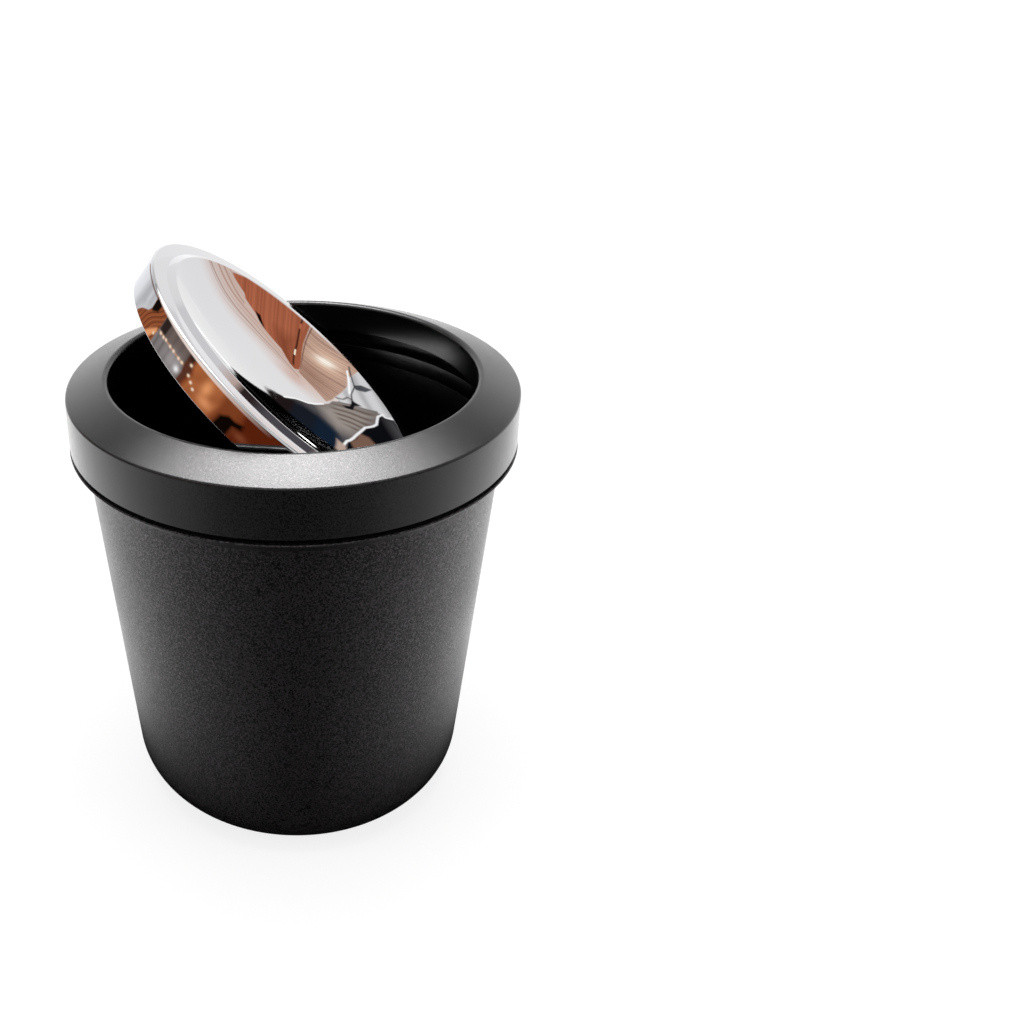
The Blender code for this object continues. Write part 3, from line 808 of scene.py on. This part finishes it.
# Painted brighter patch a little way out from the foot, strongest at the sides.
near = ramp(tree, product(tree, reach, 2.0), [(0.20, 0.0), (0.24, 0.11), (0.31, 0.165), (0.36, 0.16),
                                              (0.42, 0.03), (0.50, 0.0)], "EASE")
near_turn = ramp(tree, front, [(0.0, 0.80), (0.50, 1.0), (0.60, 0.86), (0.70, 0.65), (0.85, 0.31),
                               (0.95, 0.08), (1.0, 0.03)])
# The floor's painted reflection: a glow that only mirror rays see.
floor_painted_reflection = maths(tree, "ADD", product(tree, side, clear, far_gain, horizon),
                 product(tree, near, near_turn, NEAR_GAIN))
pale = node(tree, "ShaderNodeBsdfDiffuse", {"Color": (0.8, 0.8, 0.8)})
dimmed = node(tree, "ShaderNodeBsdfDiffuse", {"Color": (0.34, 0.34, 0.34)})
lift = glowing(tree, span(tree, reach, 0.5, 1.6, 0.80, 1.1))
seen = node(tree, "ShaderNodeAddShader", {0: dimmed.outputs[0], 1: lift})
rays = node(tree, "ShaderNodeLightPath").outputs
first = either(tree, rays["Is Camera Ray"], pale.outputs[0], seen.outputs[0])
last = either(tree, rays["Is Glossy Ray"], first, glowing(tree, floor_painted_reflection))
node(tree, "ShaderNodeOutputMaterial", {"Surface": last})
floor = sheet("floor", SWEEP, SWEEP, (0, 1, 2, 3), floor_paint)
print("floor:", SWEEP * 2, "m square")

# %% [markdown]
# The world has three faces. The camera sees plain white. Diffuse light from it is even and weak. Mirror
# rays see a room: white behind the bin, and brown wood, lamps and shadow beside and in front of it,
# which is what the chrome skirt shows.

# %% World
ROOM_GAIN = 1.7
CEILING = 0.84
FILL = 0.3
ROOM = [
    (-180, (20, 16, 15)), (-152, (20, 15, 12)), (-134, (120, 66, 38)), (-104, (60, 46, 38)),
    (-84, (110, 92, 84)), (-62, (104, 82, 68)), (-46, (200, 199, 199)), (-28, (246, 246, 246)),
    (-18, (228, 228, 229)), (4, (223, 223, 224)), (20, (214, 214, 215)), (32, (248, 248, 248)),
    (58, (218, 216, 216)), (96, (140, 132, 128)), (118, (90, 76, 68)), (145, (30, 22, 18)),
    (180, (20, 16, 15)),
]


def srgb(red, green, blue):
    """A colour written as it looks on screen, as linear values."""
    return tuple((c / 255 / 12.92) if c <= 10 else ((c / 255 + 0.055) / 1.055) ** 2.4
                 for c in (red, green, blue))


world = bpy.data.worlds.new("studio")
bpy.context.scene.world = world
tree = bare(world)
turn, height = turn_and_height(tree, node(tree, "ShaderNodeTexCoord").outputs["Generated"])
spread = maths(tree, "MULTIPLY_ADD", turn, 1 / math.tau, 0.5)
room = ramp(tree, spread, [((place + 180) / 360, srgb(*colour)) for place, colour in ROOM])
lit = blend(tree, 1.0, room, (ROOM_GAIN, ROOM_GAIN, ROOM_GAIN), blend_type="MULTIPLY")
high = span(tree, height, 0.30, 0.55, soft=True)
mirror = glowing(tree, 1.0, blend(tree, high, lit, (CEILING, CEILING, CEILING)),
                 "ShaderNodeBackground")
rays = node(tree, "ShaderNodeLightPath").outputs
unseen = either(tree, rays["Is Glossy Ray"], glowing(tree, FILL, kind="ShaderNodeBackground"), mirror)
facing = maths(tree, "MAXIMUM", rays["Is Camera Ray"], rays["Is Transmission Ray"])
last = either(tree, facing, unseen, glowing(tree, 1.0, kind="ShaderNodeBackground"))
node(tree, "ShaderNodeOutputWorld", {"Surface": last})
print("world:", len(ROOM), "stops round the room")

# %% [markdown]
# Light comes from one large soft lamp overhead and two weak ones at the sides. They light the plastic
# evenly, and they are kept out of the reflections: what the sheen shows is a glowing card instead.

# %% Lamps
AIM_Z = 0.15


def lamp(name, place, size, power):
    """A square soft lamp that faces the middle of the bin."""
    data = bpy.data.lights.new(name, "AREA")
    data.size = size
    data.energy = power
    made = in_scene(name, data)
    made.location = place
    aim = Vector((0.0, 0.0, AIM_Z)) - Vector(place)
    made.rotation_mode = "QUATERNION"
    made.rotation_quaternion = aim.to_track_quat("-Z", "Y")
    made.visible_glossy = False


lamp("overhead", (0.0, 0.1, 1.3), 0.9, 9.0)
lamp("left_fill", (-1.2, -0.4, 0.7), 0.8, 3.0)
lamp("right_fill", (1.2, -0.4, 0.7), 0.8, 3.0)
print("lamps:", [item.name for item in bpy.data.lights])

# %% [markdown]
# The card over the bin is what makes the front of the slope shine. Only mirror rays see it.

# %% Overhead card
CARD_HALF = (0.85, 0.48)
CARD_PLACE = (0.0, 0.25, 1.06)
GLOW_REACH = (0.42, 0.24)
GLOW = 23.0


def mirror_only(card):
    """Keep a card out of every ray but mirror rays."""
    for rays in ("visible_camera", "visible_diffuse", "visible_transmission", "visible_shadow",
                 "visible_volume_scatter"):
        setattr(card, rays, False)


card_glow = bpy.data.materials.new("card_glow")
tree = bare(card_glow)
shrunk = node(tree, "ShaderNodeVectorMath", {
    0: object_place(tree), 1: (1 / GLOW_REACH[0], 1 / GLOW_REACH[1], 1.0)}, operation="MULTIPLY")
reach = node(tree, "ShaderNodeVectorMath", {0: shrunk.outputs[0]}, operation="LENGTH").outputs["Value"]
fall = maths(tree, "EXPONENT", product(tree, reach, reach, -1.0))
node(tree, "ShaderNodeOutputMaterial", {"Surface": glowing(tree, product(tree, fall, GLOW))})
overhead_card = sheet("overhead_card", *CARD_HALF, (0, 3, 2, 1), card_glow)
overhead_card.location = CARD_PLACE
mirror_only(overhead_card)
print("card:", overhead_card.name)

# %% [markdown]
# What the dish of the flap shows is a picture of its own: pale backdrop at the left, a panel of brown
# wood, tan streaks with a lamp's glow, and the dark of the room below. A mirror shows what lies in the
# direction it faces, so the picture hangs on a round card just over the dish, seen from below only, and
# only by mirror rays. Rays that arrive flat pass through it and see the real ring. The picture is drawn
# in millimetres in the plane of the flap, from plain shapes.

# %% Helper: soft shapes on a grid
def stroke_distance(x, y, start, end):
    """Distance to a straight stroke."""
    dx, dy = end[0] - start[0], end[1] - start[1]
    along = np.clip(((x - start[0]) * dx + (y - start[1]) * dy) / max(dx * dx + dy * dy, 1e-9), 0, 1)
    return np.hypot(x - start[0] - along * dx, y - start[1] - along * dy)


def soft_shape(x, y, corners, edge):
    """1 inside a closed outline and 0 outside, blended over a soft edge."""
    inside = np.zeros(x.shape, bool)
    nearest = np.full(x.shape, 1e9)
    for (ax, ay), (bx, by) in zip(corners, corners[1:] + corners[:1]):
        if ay != by:
            inside ^= ((ay > y) != (by > y)) & (x < (bx - ax) * (y - ay) / (by - ay) + ax)
        nearest = np.minimum(nearest, stroke_distance(x, y, (ax, ay), (bx, by)))
    return np.clip(0.5 + np.where(inside, nearest, -nearest) / edge, 0, 1)


def stroke(x, y, path, width):
    """1 on a line through the points, fading over its width."""
    nearest = np.full(x.shape, 1e9)
    for start, end in zip(path, path[1:]):
        nearest = np.minimum(nearest, stroke_distance(x, y, start, end))
    return np.clip(1.5 - nearest / width, 0, 1)


def spot(x, y, place, reach):
    """A round or oval glow that fades from its middle."""
    return np.exp(-((x - place[0]) / reach[0]) ** 2 - ((y - place[1]) / reach[1]) ** 2)


def fade(value, start, end):
    """0 before start, 1 after end."""
    return np.clip((value - start) / (end - start), 0, 1)


def brushes(x, y):
    """The three kinds of mask, on one grid."""
    return partial(soft_shape, x, y), partial(stroke, x, y), partial(spot, x, y)


def painted(picture, layers):
    """Lay colours over the picture, one after another, each where its mask is."""
    for mask, colour in layers:
        picture = picture + (np.array(srgb(*colour)) - picture) * mask[..., None]
    return picture


print("helpers for masks and layers ready")

# %% Picture on the card: pale backdrop and wood
STEP = 0.4
CARD_R = 82.5
axis = np.linspace(-CARD_R, CARD_R, int(2 * CARD_R / STEP) + 1)
X, Y = np.meshgrid(axis, axis, indexing="ij")
area, line, dot = brushes(X, Y)
radius = np.hypot(X, Y)
compass = np.degrees(np.arctan2(Y, X))
down = Y + 0.22 * X + 1.5 * np.sin(X / 9.0)
boards = (0.5 + 0.5 * np.sin(2.3 * down + 1.2 * np.sin(0.6 * down))) ** 3
lines = boards * (0.55 + 0.45 * np.sin(0.75 * down + 0.05 * X))
across = 0.914 * X + 0.406 * Y + 0.7 * np.sin((Y - 0.4 * X) / 7.0)
fibres = 0.5 + 0.22 * np.sin(2.1 * across + 1.5 * np.sin(0.7 * across))
fibres += 0.16 * np.sin(5.3 * across + Y * 0.1)
fibres += 0.12 * np.sin(0.55 * across)
picture = np.ones(X.shape + (3,)) * np.array(srgb(224, 223, 224))
haze = area([(-62, 52), (-46, 66), (-12, 56), (4, 50), (16, 40), (10, 32), (-12, 38), (-38, 44)], 9.0)
wood = area([(-41, 63), (-30, 71.5), (-20, 75.5), (-10, 78), (0, 84), (10, 84), (10.5, 72), (11, 64),
    (12.5, 55), (13, 47), (12, 41), (9, 38), (6, 40), (3, 44), (0, 48), (-10, 51.5), (-14, 53), (-20, 57),
    (-28, 59), (-30, 61), (-38, 62)], 0.7)
picture = painted(picture, [
    (dot((-52, 22), (26, 20)) * 0.5, (214, 213, 216)),
    (area([(-66, 56), (-46, 70), (0, 84), (24, 80), (36, 34), (26, 24), (8, 24), (-14, 37), (-34, 44)],
        20.0), (210, 188, 178)),
    (haze * (0.15 + 0.75 * lines), (168, 134, 120)),
    (line([(-56, 53), (-40, 48.5), (-20, 45.5), (-4, 41), (12, 33)], 0.45) * 0.7, (140, 108, 96)),
    (line([(-50, 61), (-36, 57), (-28, 55.5)], 0.45) * 0.7, (150, 112, 96)),
    (dot((8, 27), (9, 6)) * 0.45, (196, 150, 132)),
    (wood, (146, 80, 56)),
    (wood * np.clip(fibres, 0, 1), (182, 106, 76)),
    (wood * area([(-6, 60), (5, 62), (9, 40), (6, 34), (-2, 44)], 9.0) * 0.8, (124, 64, 42)),
    (wood * area([(8.2, 84), (11, 84), (14, 44), (9, 36), (8.4, 52)], 0.6) * 0.6, (150, 84, 58)),
    (area([(-20.5, 58.2), (-17, 58.8), (-13.5, 54.4), (-12, 52.5), (-16.5, 54.5)], 0.7), (12, 7, 5)),
    (line([(4.6, 84), (5, 77), (5.6, 72), (7, 66), (8, 60), (7.8, 52), (8.3, 42)], 0.6) * (0.85 -
        fade(Y, 70, 71) * fade(-Y, -74, -73)), (40, 14, 8)),
    (line([(8.0, 56.5), (8.2, 52.5)], 0.5), (255, 240, 215)),
])
print("wood painted on", X.size, "points")

# %% Picture on the card: pale boards and a lamp
tan = area([(10.5, 88), (22, 86), (34, 80), (46, 70), (41.5, 61), (39, 58), (40.5, 52), (39, 47),
    (35, 38), (33, 33), (30, 28), (22, 33), (12, 38), (13, 47), (12.5, 55), (11, 64)], 1.0)
close_lines = (0.5 + 0.5 * np.sin(4.4 * down + 0.9 * np.sin(0.8 * down + 0.1 * X))) ** 3
dimmer = 1.0 - 0.6 * dot((25.5, 61), (7, 3.5))
low_part = 0.45 + 0.55 * dot((21, 38), (16, 12))
cloth = area([(41, 60), (46, 68), (58, 60), (68, 50), (74, 38), (61, 41), (58, 42), (50, 41), (44, 40),
    (38, 37), (36, 40), (39, 47), (40.5, 52)], 1.0)
picture = painted(picture, [
    (tan, (198, 164, 146)),
    (tan * dot((18, 48), (14, 12)) * 0.7, (164, 124, 106)),
    (tan * dot((27, 61), (12, 7)) * 0.8, (238, 202, 176)),
    (tan * np.clip(dot((25.5, 61), (5.5, 2.2)) * 1.3, 0, 1), (255, 246, 232)),
    (tan * dimmer * np.clip(0.4 * lines + 0.8 * close_lines * low_part, 0, 1), (92, 60, 48)),
    (tan * line([(12, 84), (11.6, 68), (13, 54), (12.8, 43)], 0.4) * 0.7, (88, 46, 30)),
    (cloth, (212, 212, 214)),
    (cloth * (0.5 + 0.5 * np.sin((X + 0.7 * Y) * 0.62)) ** 2 * 0.7, (166, 163, 164)),
])
print("boards painted")

# %% Picture on the card: the dark room and the crumpled edge
dark = area([(-12, -1.0), (-5, -2.0), (0, -2.0), (4.5, -1.0), (10, 4.5), (18, 10), (22, 14), (28, 22),
    (32, 28), (34, 33), (38, 37), (44, 40), (50, 41), (58, 42), (60, 38), (90, 36), (90, -40),
    (-20, -40)], 0.8)
folds = (0.5 + 0.5 * np.sin((Y - 0.35 * X + 1.2 * np.sin(X / 4.0)) * 1.35)) ** 1.5
star = [(43, 54.5), (47, 56.5), (53, 56), (50, 53), (45, 52.2)]
blob = [(44, 44.5), (46, 43), (50, 42), (46.5, 40), (46, 36), (42, 34.5), (40, 35.5), (44, 38),
    (44.5, 41)]
night = area([(59, 41), (66, 39.5), (84, 30), (84, -20), (60, -20), (42, -6), (43, 2), (46, 8), (48, 13),
    (51, 20), (53, 25), (57, 29), (58.5, 31), (58.5, 38)], 0.6)
edge_path = [(66, 39), (62.5, 39.2), (60.5, 40.6), (58.7, 38), (58.6, 31.5), (57, 29), (53, 25), (51, 20),
    (48, 13), (46, 8), (44, 4), (42, 1), (39, -7)]
picture = painted(picture, [
    (dark, (78, 76, 78)),
    (dark * area([(24, 16), (34, 35), (46, 42), (60, 40), (54, 22), (46, 10), (36, 6)], 11.0),
        (150, 141, 135)),
    (dark * folds * area([(32, 28), (40, 39), (57, 41), (56, 26), (48, 16), (38, 18)], 5.0) * 0.8,
        (92, 76, 68)),
    (dark * area([(6, 1), (14, 5), (24, 6), (36, 2), (40, -14), (-10, -14)], 6.0), (22, 27, 36)),
    (dark * area([(24, 4), (34, 6), (40, -2), (36, -12), (22, -12)], 5.0) * 0.6, (14, 34, 54)),
    (dark * area([(-18, 3), (3, -1), (10, 2), (8, -14), (-18, -14)], 3.0), (30, 22, 22)),
    (fade(-X, 2, 14) * fade(-Y, 5, 13), (224, 223, 224)),
    (line([(3.5, -1.0), (10, 4.9), (18, 10.5), (22, 14.5), (28, 22.5)], 0.45) * 0.9, (255, 255, 255)),
    (area(star, 0.7) * 0.9, (34, 40, 48)),
    (area(blob, 0.8), (18, 18, 22)),
    (line([(36, 39), (40, 41), (42, 44.5), (44.5, 44)], 0.5) * 0.8, (90, 84, 84)),
    (line([(38, 65), (40.5, 60), (44, 54), (43.5, 48), (44.5, 44)], 0.45) * 0.85, (54, 52, 54)),
    (line([(37.8, 62), (40.4, 56), (42.6, 48)], 0.5), (255, 255, 255)),
    (night, (12, 13, 17)),
    (night * area([(62, 38), (67, 38), (80, 22), (70, 22)], 6.0) * 0.8, (76, 74, 76)),
    (night * area([(49, 17), (55, 17), (59, 12), (52, 2), (46, -2), (44, 3), (48, 10)], 2.5),
        (118, 90, 76)),
    (line(edge_path, 0.65), (240, 240, 242)),
    (area([(36, -3), (41, -4), (42, -10), (36, -10)], 2.0), (180, 158, 146)),
])
print("dark side painted")

# %% Picture on the card: what the near rim and crest see
low = fade(-Y, 22, 30) * fade(-X, -14, -6)
near_side = fade(compass, -150, -146) * (compass < 0)
crest = low * fade(radius, 70.6, 71.6)
inner_rim = low * fade(radius, 65.5, 67.5) * fade(-radius, -70.6, -69.6)
far_rim = fade(radius, 76.1, 76.9) * fade(compass, 64, 78) * fade(-compass, -150, -138)
picture = painted(picture, [
    (low, (234, 233, 235)),
    (crest, (209, 208, 211)),
    (crest * fade(compass, -128, -120) * near_side, (190, 168, 160)),
    (crest * fade(compass, -119, -115) * near_side, (46, 36, 37)),
    (crest * fade(compass, -111, -104) * near_side, (76, 74, 80)),
    (crest * fade(radius, 76.6, 77.6) * fade(compass, -140, -120) * near_side, (236, 236, 238)),
    (inner_rim * fade(compass, -122, -106) * near_side * 0.3, (202, 164, 148)),
    (far_rim, (236, 233, 233)),
])
print("near side painted")

# %% Helper: a painted card
FIRST_BOUNCE = 1.5
# What a ray that has bounced twice sees of the card: a painted highlight glow, its alpha times the gain,
# and a little more.
HIGHLIGHT_GLOW_GAIN = 9.0
AGAIN_BASE = 0.02
# Over this span of the layer weight, flatter rays see less and less of the card over the dish.
FLAT_RAYS = (0.805, 0.830)
# The longest ray that sees the strip is 40 mm at the strip's left end and 13 mm past it.
STRIP_LEFT = (-0.090, -0.070)
STRIP_LIMIT = (0.040, 0.013)


def painted_card(name, places, picture, keep, strength, highlight_glow=None):
    """A card of small faces, coloured at its points, that glows on its back and is clear on its front.

    With a painted highlight glow, a ray that has bounced twice sees that glow instead, and rays
    that arrive flat pass through the card. Without one, only near and first rays see the card."""
    second = np.zeros(keep.shape) if highlight_glow is None else highlight_glow
    number = -np.ones(keep.shape, int)
    number[keep] = np.arange(keep.sum())
    quads = np.stack([number[:-1, :-1], number[1:, :-1], number[1:, 1:], number[:-1, 1:]], -1).reshape(-1, 4)
    quads = quads[(quads >= 0).all(1)]
    mesh = bpy.data.meshes.new(name)
    mesh.from_pydata(places[keep].tolist(), [], quads.tolist())
    colours = mesh.color_attributes.new("picture", "FLOAT_COLOR", "POINT")
    colours.data.foreach_set("color", np.concatenate([picture[keep], second[keep][:, None]], 1).ravel())
    card = in_scene(name, mesh)
    card.matrix_world = open_flap
    shown = bpy.data.materials.new(name)
    tree = bare(shown)
    paint = node(tree, "ShaderNodeAttribute", attribute_name="picture").outputs
    path = node(tree, "ShaderNodeLightPath").outputs
    seen = node(tree, "ShaderNodeNewGeometry").outputs["Backfacing"]
    first_bounce = maths(tree, "LESS_THAN", path["Ray Depth"], FIRST_BOUNCE)
    power = product(tree, first_bounce, strength)
    if highlight_glow is None:
        place = node(tree, "ShaderNodeSeparateXYZ", {0: object_place(tree)}).outputs
        limit = span(tree, place[0], *STRIP_LEFT, *STRIP_LIMIT)
        seen = product(tree, seen, maths(tree, "LESS_THAN", path["Ray Length"], limit), first_bounce)
    else:
        turned_back = maths(tree, "SUBTRACT", 1.0, first_bounce)
        # A painted highlight glow from the picture's alpha, for rays that have bounced twice.
        later = maths(tree, "MULTIPLY_ADD", paint["Alpha"], HIGHLIGHT_GLOW_GAIN, AGAIN_BASE)
        power = maths(tree, "MULTIPLY_ADD", turned_back, later, power)
        flat = node(tree, "ShaderNodeLayerWeight", {"Blend": 0.5}).outputs["Facing"]
        steep = span(tree, flat, *FLAT_RAYS, 1.0, 0.0)
        seen = product(tree, seen, maths(tree, "MAXIMUM", steep, turned_back))
    glow = glowing(tree, power, blend(tree, first_bounce, WHITE, paint["Color"]))
    clear_air = node(tree, "ShaderNodeBsdfTransparent").outputs[0]
    node(tree, "ShaderNodeOutputMaterial", {"Surface": either(tree, seen, clear_air, glow)})
    mesh.materials.append(shown)
    mirror_only(card)
    print(name, len(quads), "faces")


DISH_CARD_Z = 9.0
places = np.stack([X, Y, np.full(X.shape, DISH_CARD_Z)], -1) / 1000
# Painted highlight glow for rays that have bounced twice: a stroke that lays a soft highlight on the ring's
# inner collar, and a faint glow near the card's far edge.
highlight_glow = stroke(X, Y, [(38, 60), (50, 68)], 4.0)
highlight_glow = highlight_glow + 0.24 * fade(radius, 79.0, 80.5) * fade(Y, 60, 70) * fade(-X, -2, 2)
painted_card("dish_card", places, picture, radius <= CARD_R, strength=1.55, highlight_glow=highlight_glow)

# %% [markdown]
# The skirt of the flap has its own strip, bent round it. It shows the same room from the side: a pale
# backdrop, a wooden cupboard, a grey wall with a string of lamps, and more wood. At the end of the strip
# it shows a painted reflection of the ring's bright slope. Its places are given by the turn round the
# flap in degrees and the height over the pins in millimetres.

# %% Picture on the strip round the skirt
LAMPS = [(208.2, -14), (211.5, -10), (213.6, -9.8), (215.2, -9.3), (218.2, -9.2), (220.4, -9.0),
         (223.5, -9.0), (225.4, -8.8), (228.8, -5.6), (230.0, -10.2), (232.0, -11.6), (233.9, -13.2)]
# Grey bands at the strip's end, a painted reflection of the ring's bright slope: start, end, grey.
RING_REFLECTION_BANDS = [(-0.4, 0.4, 120), (0.5, 1.0, 238), (1.9, 2.2, 20), (2.6, 2.8, 150), (3.2, 3.4, 18),
           (3.9, 4.2, 222)]
STRIP_R = 91.0
turn_axis = np.arange(150.0, 273.1, 0.3)
rise_axis = np.arange(-23.0, 3.1, 0.3)
T, Z = np.meshgrid(turn_axis, rise_axis, indexing="ij")
area, line, dot = brushes(T, Z)
slant = T - 0.55 * Z + 0.8 * np.sin(Z / 2.5)
strip_grain = 0.5 + 0.3 * np.sin(slant * 2.6) + 0.2 * np.sin(slant * 5.9 + 1.0)
strip = np.ones(T.shape + (3,)) * np.array(srgb(224, 225, 229))
cupboard = area([(188, -26), (191, -18), (194, -14.5), (198.6, -11), (200, -8), (199.6, 4), (210, 4),
    (210.4, -8), (209.6, -12), (209, -26)], 0.7)
wall = area([(210, 4), (228, 4), (228.6, -9), (226.6, -12), (227.8, -26), (209, -26), (209.6, -12)], 0.8)
column = area([(226.6, 4), (229.6, 4), (230.2, -8), (229.4, -12), (228.6, -26), (226.6, -26), (227, -12),
    (226.2, -8)], 1.0)
panel = area([(229.4, 4), (243.6, 4), (244.6, -8), (242.4, -26), (228.8, -26), (230.6, -12), (231, -8),
    (229.6, -5)], 2.0)
brown = area([(243.2, 4), (251, 4), (250.6, -7), (251, -11), (251, -26), (242.6, -26), (244, -10)], 3.0)
strip = painted(strip, [
    (area([(188, 4), (200, 4), (200, -10), (192, -16), (189, -26), (183, -26)], 7.0), (184, 185, 188)),
    (dot((194.5, -7), (1.6, 6)) * 0.5, (232, 232, 234)),
    (fade(T, 224, 229), (118, 54, 27)),
    (cupboard, (108, 54, 30)),
    (cupboard * np.clip(strip_grain, 0, 1), (168, 96, 60)),
    (cupboard * area([(199.6, 0), (204.8, -2), (204.4, -6), (201, -9), (199.6, -8)], 1.2), (20, 13, 11)),
    (cupboard * area([(202, -20), (205.5, -14.5), (208.4, -10.5), (209.6, -12), (207.4, -16), (206, -20)],
        1.2), (238, 164, 112)),
    (wall, (112, 97, 91)),
    (wall * fade(-Z, 8.9, 9.6), (134, 127, 127)),
    (wall * (0.5 + 0.5 * np.sin(T * 1.7 + 0.5)) ** 2 * 0.5, (88, 78, 76)),
    (wall * area([(209.8, 4), (214.2, 4), (213.8, -8.9), (210, -8.9)], 1.0), (48, 38, 36)),
    (wall * dot((222.5, -13), (4.5, 5)) * 0.6, (182, 176, 176)),
    (dot((225, -13.6), (1.1, 1.5)), (250, 248, 248)),
    (wall * line([(211, -9.7), (218, -9.2), (227, -8.8)], 0.5) * 0.6, (214, 160, 124)),
    (column, (92, 52, 38)),
    (column * fade(Z, -6, -2), (34, 26, 24)),
    (panel, (176, 102, 60)),
    (panel * (0.5 + 0.5 * np.sin(0.7 * T - 0.4 * Z + 1.5 * np.sin(Z / 3.0))) * 0.5, (150, 82, 46)),
    (panel * dot((237.5, -7), (1.8, 4.5)) * 0.85, (242, 164, 108)),
    (panel * dot((239.5, -13), (3.0, 2.6)) * 0.8, (234, 156, 104)),
    (brown, (128, 64, 34)),
    (area([(250.6, 4), (270, 4), (270, -26), (251, -26), (251.5, -11), (253, -8)], 2.0), (92, 34, 13)),
    (dot((254.8, -12.5), (2.6, 2.0)) * 0.8, (132, 70, 44)),
    (area([(245.5, -11), (248, -8), (250.5, -8), (253.5, -6.5), (253.8, -9.3), (251, -11), (251.5, -26),
        (244.5, -26)], 1.6), (15, 6, 3)),
])
for place in LAMPS:
    strip = painted(strip, [(np.clip(dot(place, (0.5, 0.65)) * 1.4, 0, 1), (255, 228, 200))])
bend = np.radians(T)
places = np.stack([STRIP_R * np.cos(bend), STRIP_R * np.sin(bend), Z], -1) / 1000
# How far past the end of the room picture; there the strip shows the ring's slope as a painted reflection.
past_end = T - 258 - fade(Z, -16, -1) * 8.5
strip = painted(strip, [
    (fade(Z, -2.2, -1.6) * fade(T, 196, 204) * fade(-T, -262, -232), (246, 230, 220)),
    (line([(172, -5.4), (185, -3.7), (200, -2.6)], 0.5) * 0.8, (104, 66, 52)),
])
# The painted reflection of the ring's slope, band by band.
for start, end, grey in RING_REFLECTION_BANDS:
    strip = painted(strip, [(fade(past_end, start, end), (grey, grey, grey + 2))])
shown_part = (past_end <= 6) & ((T < 192) | (Z > -19.5))
painted_card("skirt_card", places, strip, shown_part, strength=1.5)
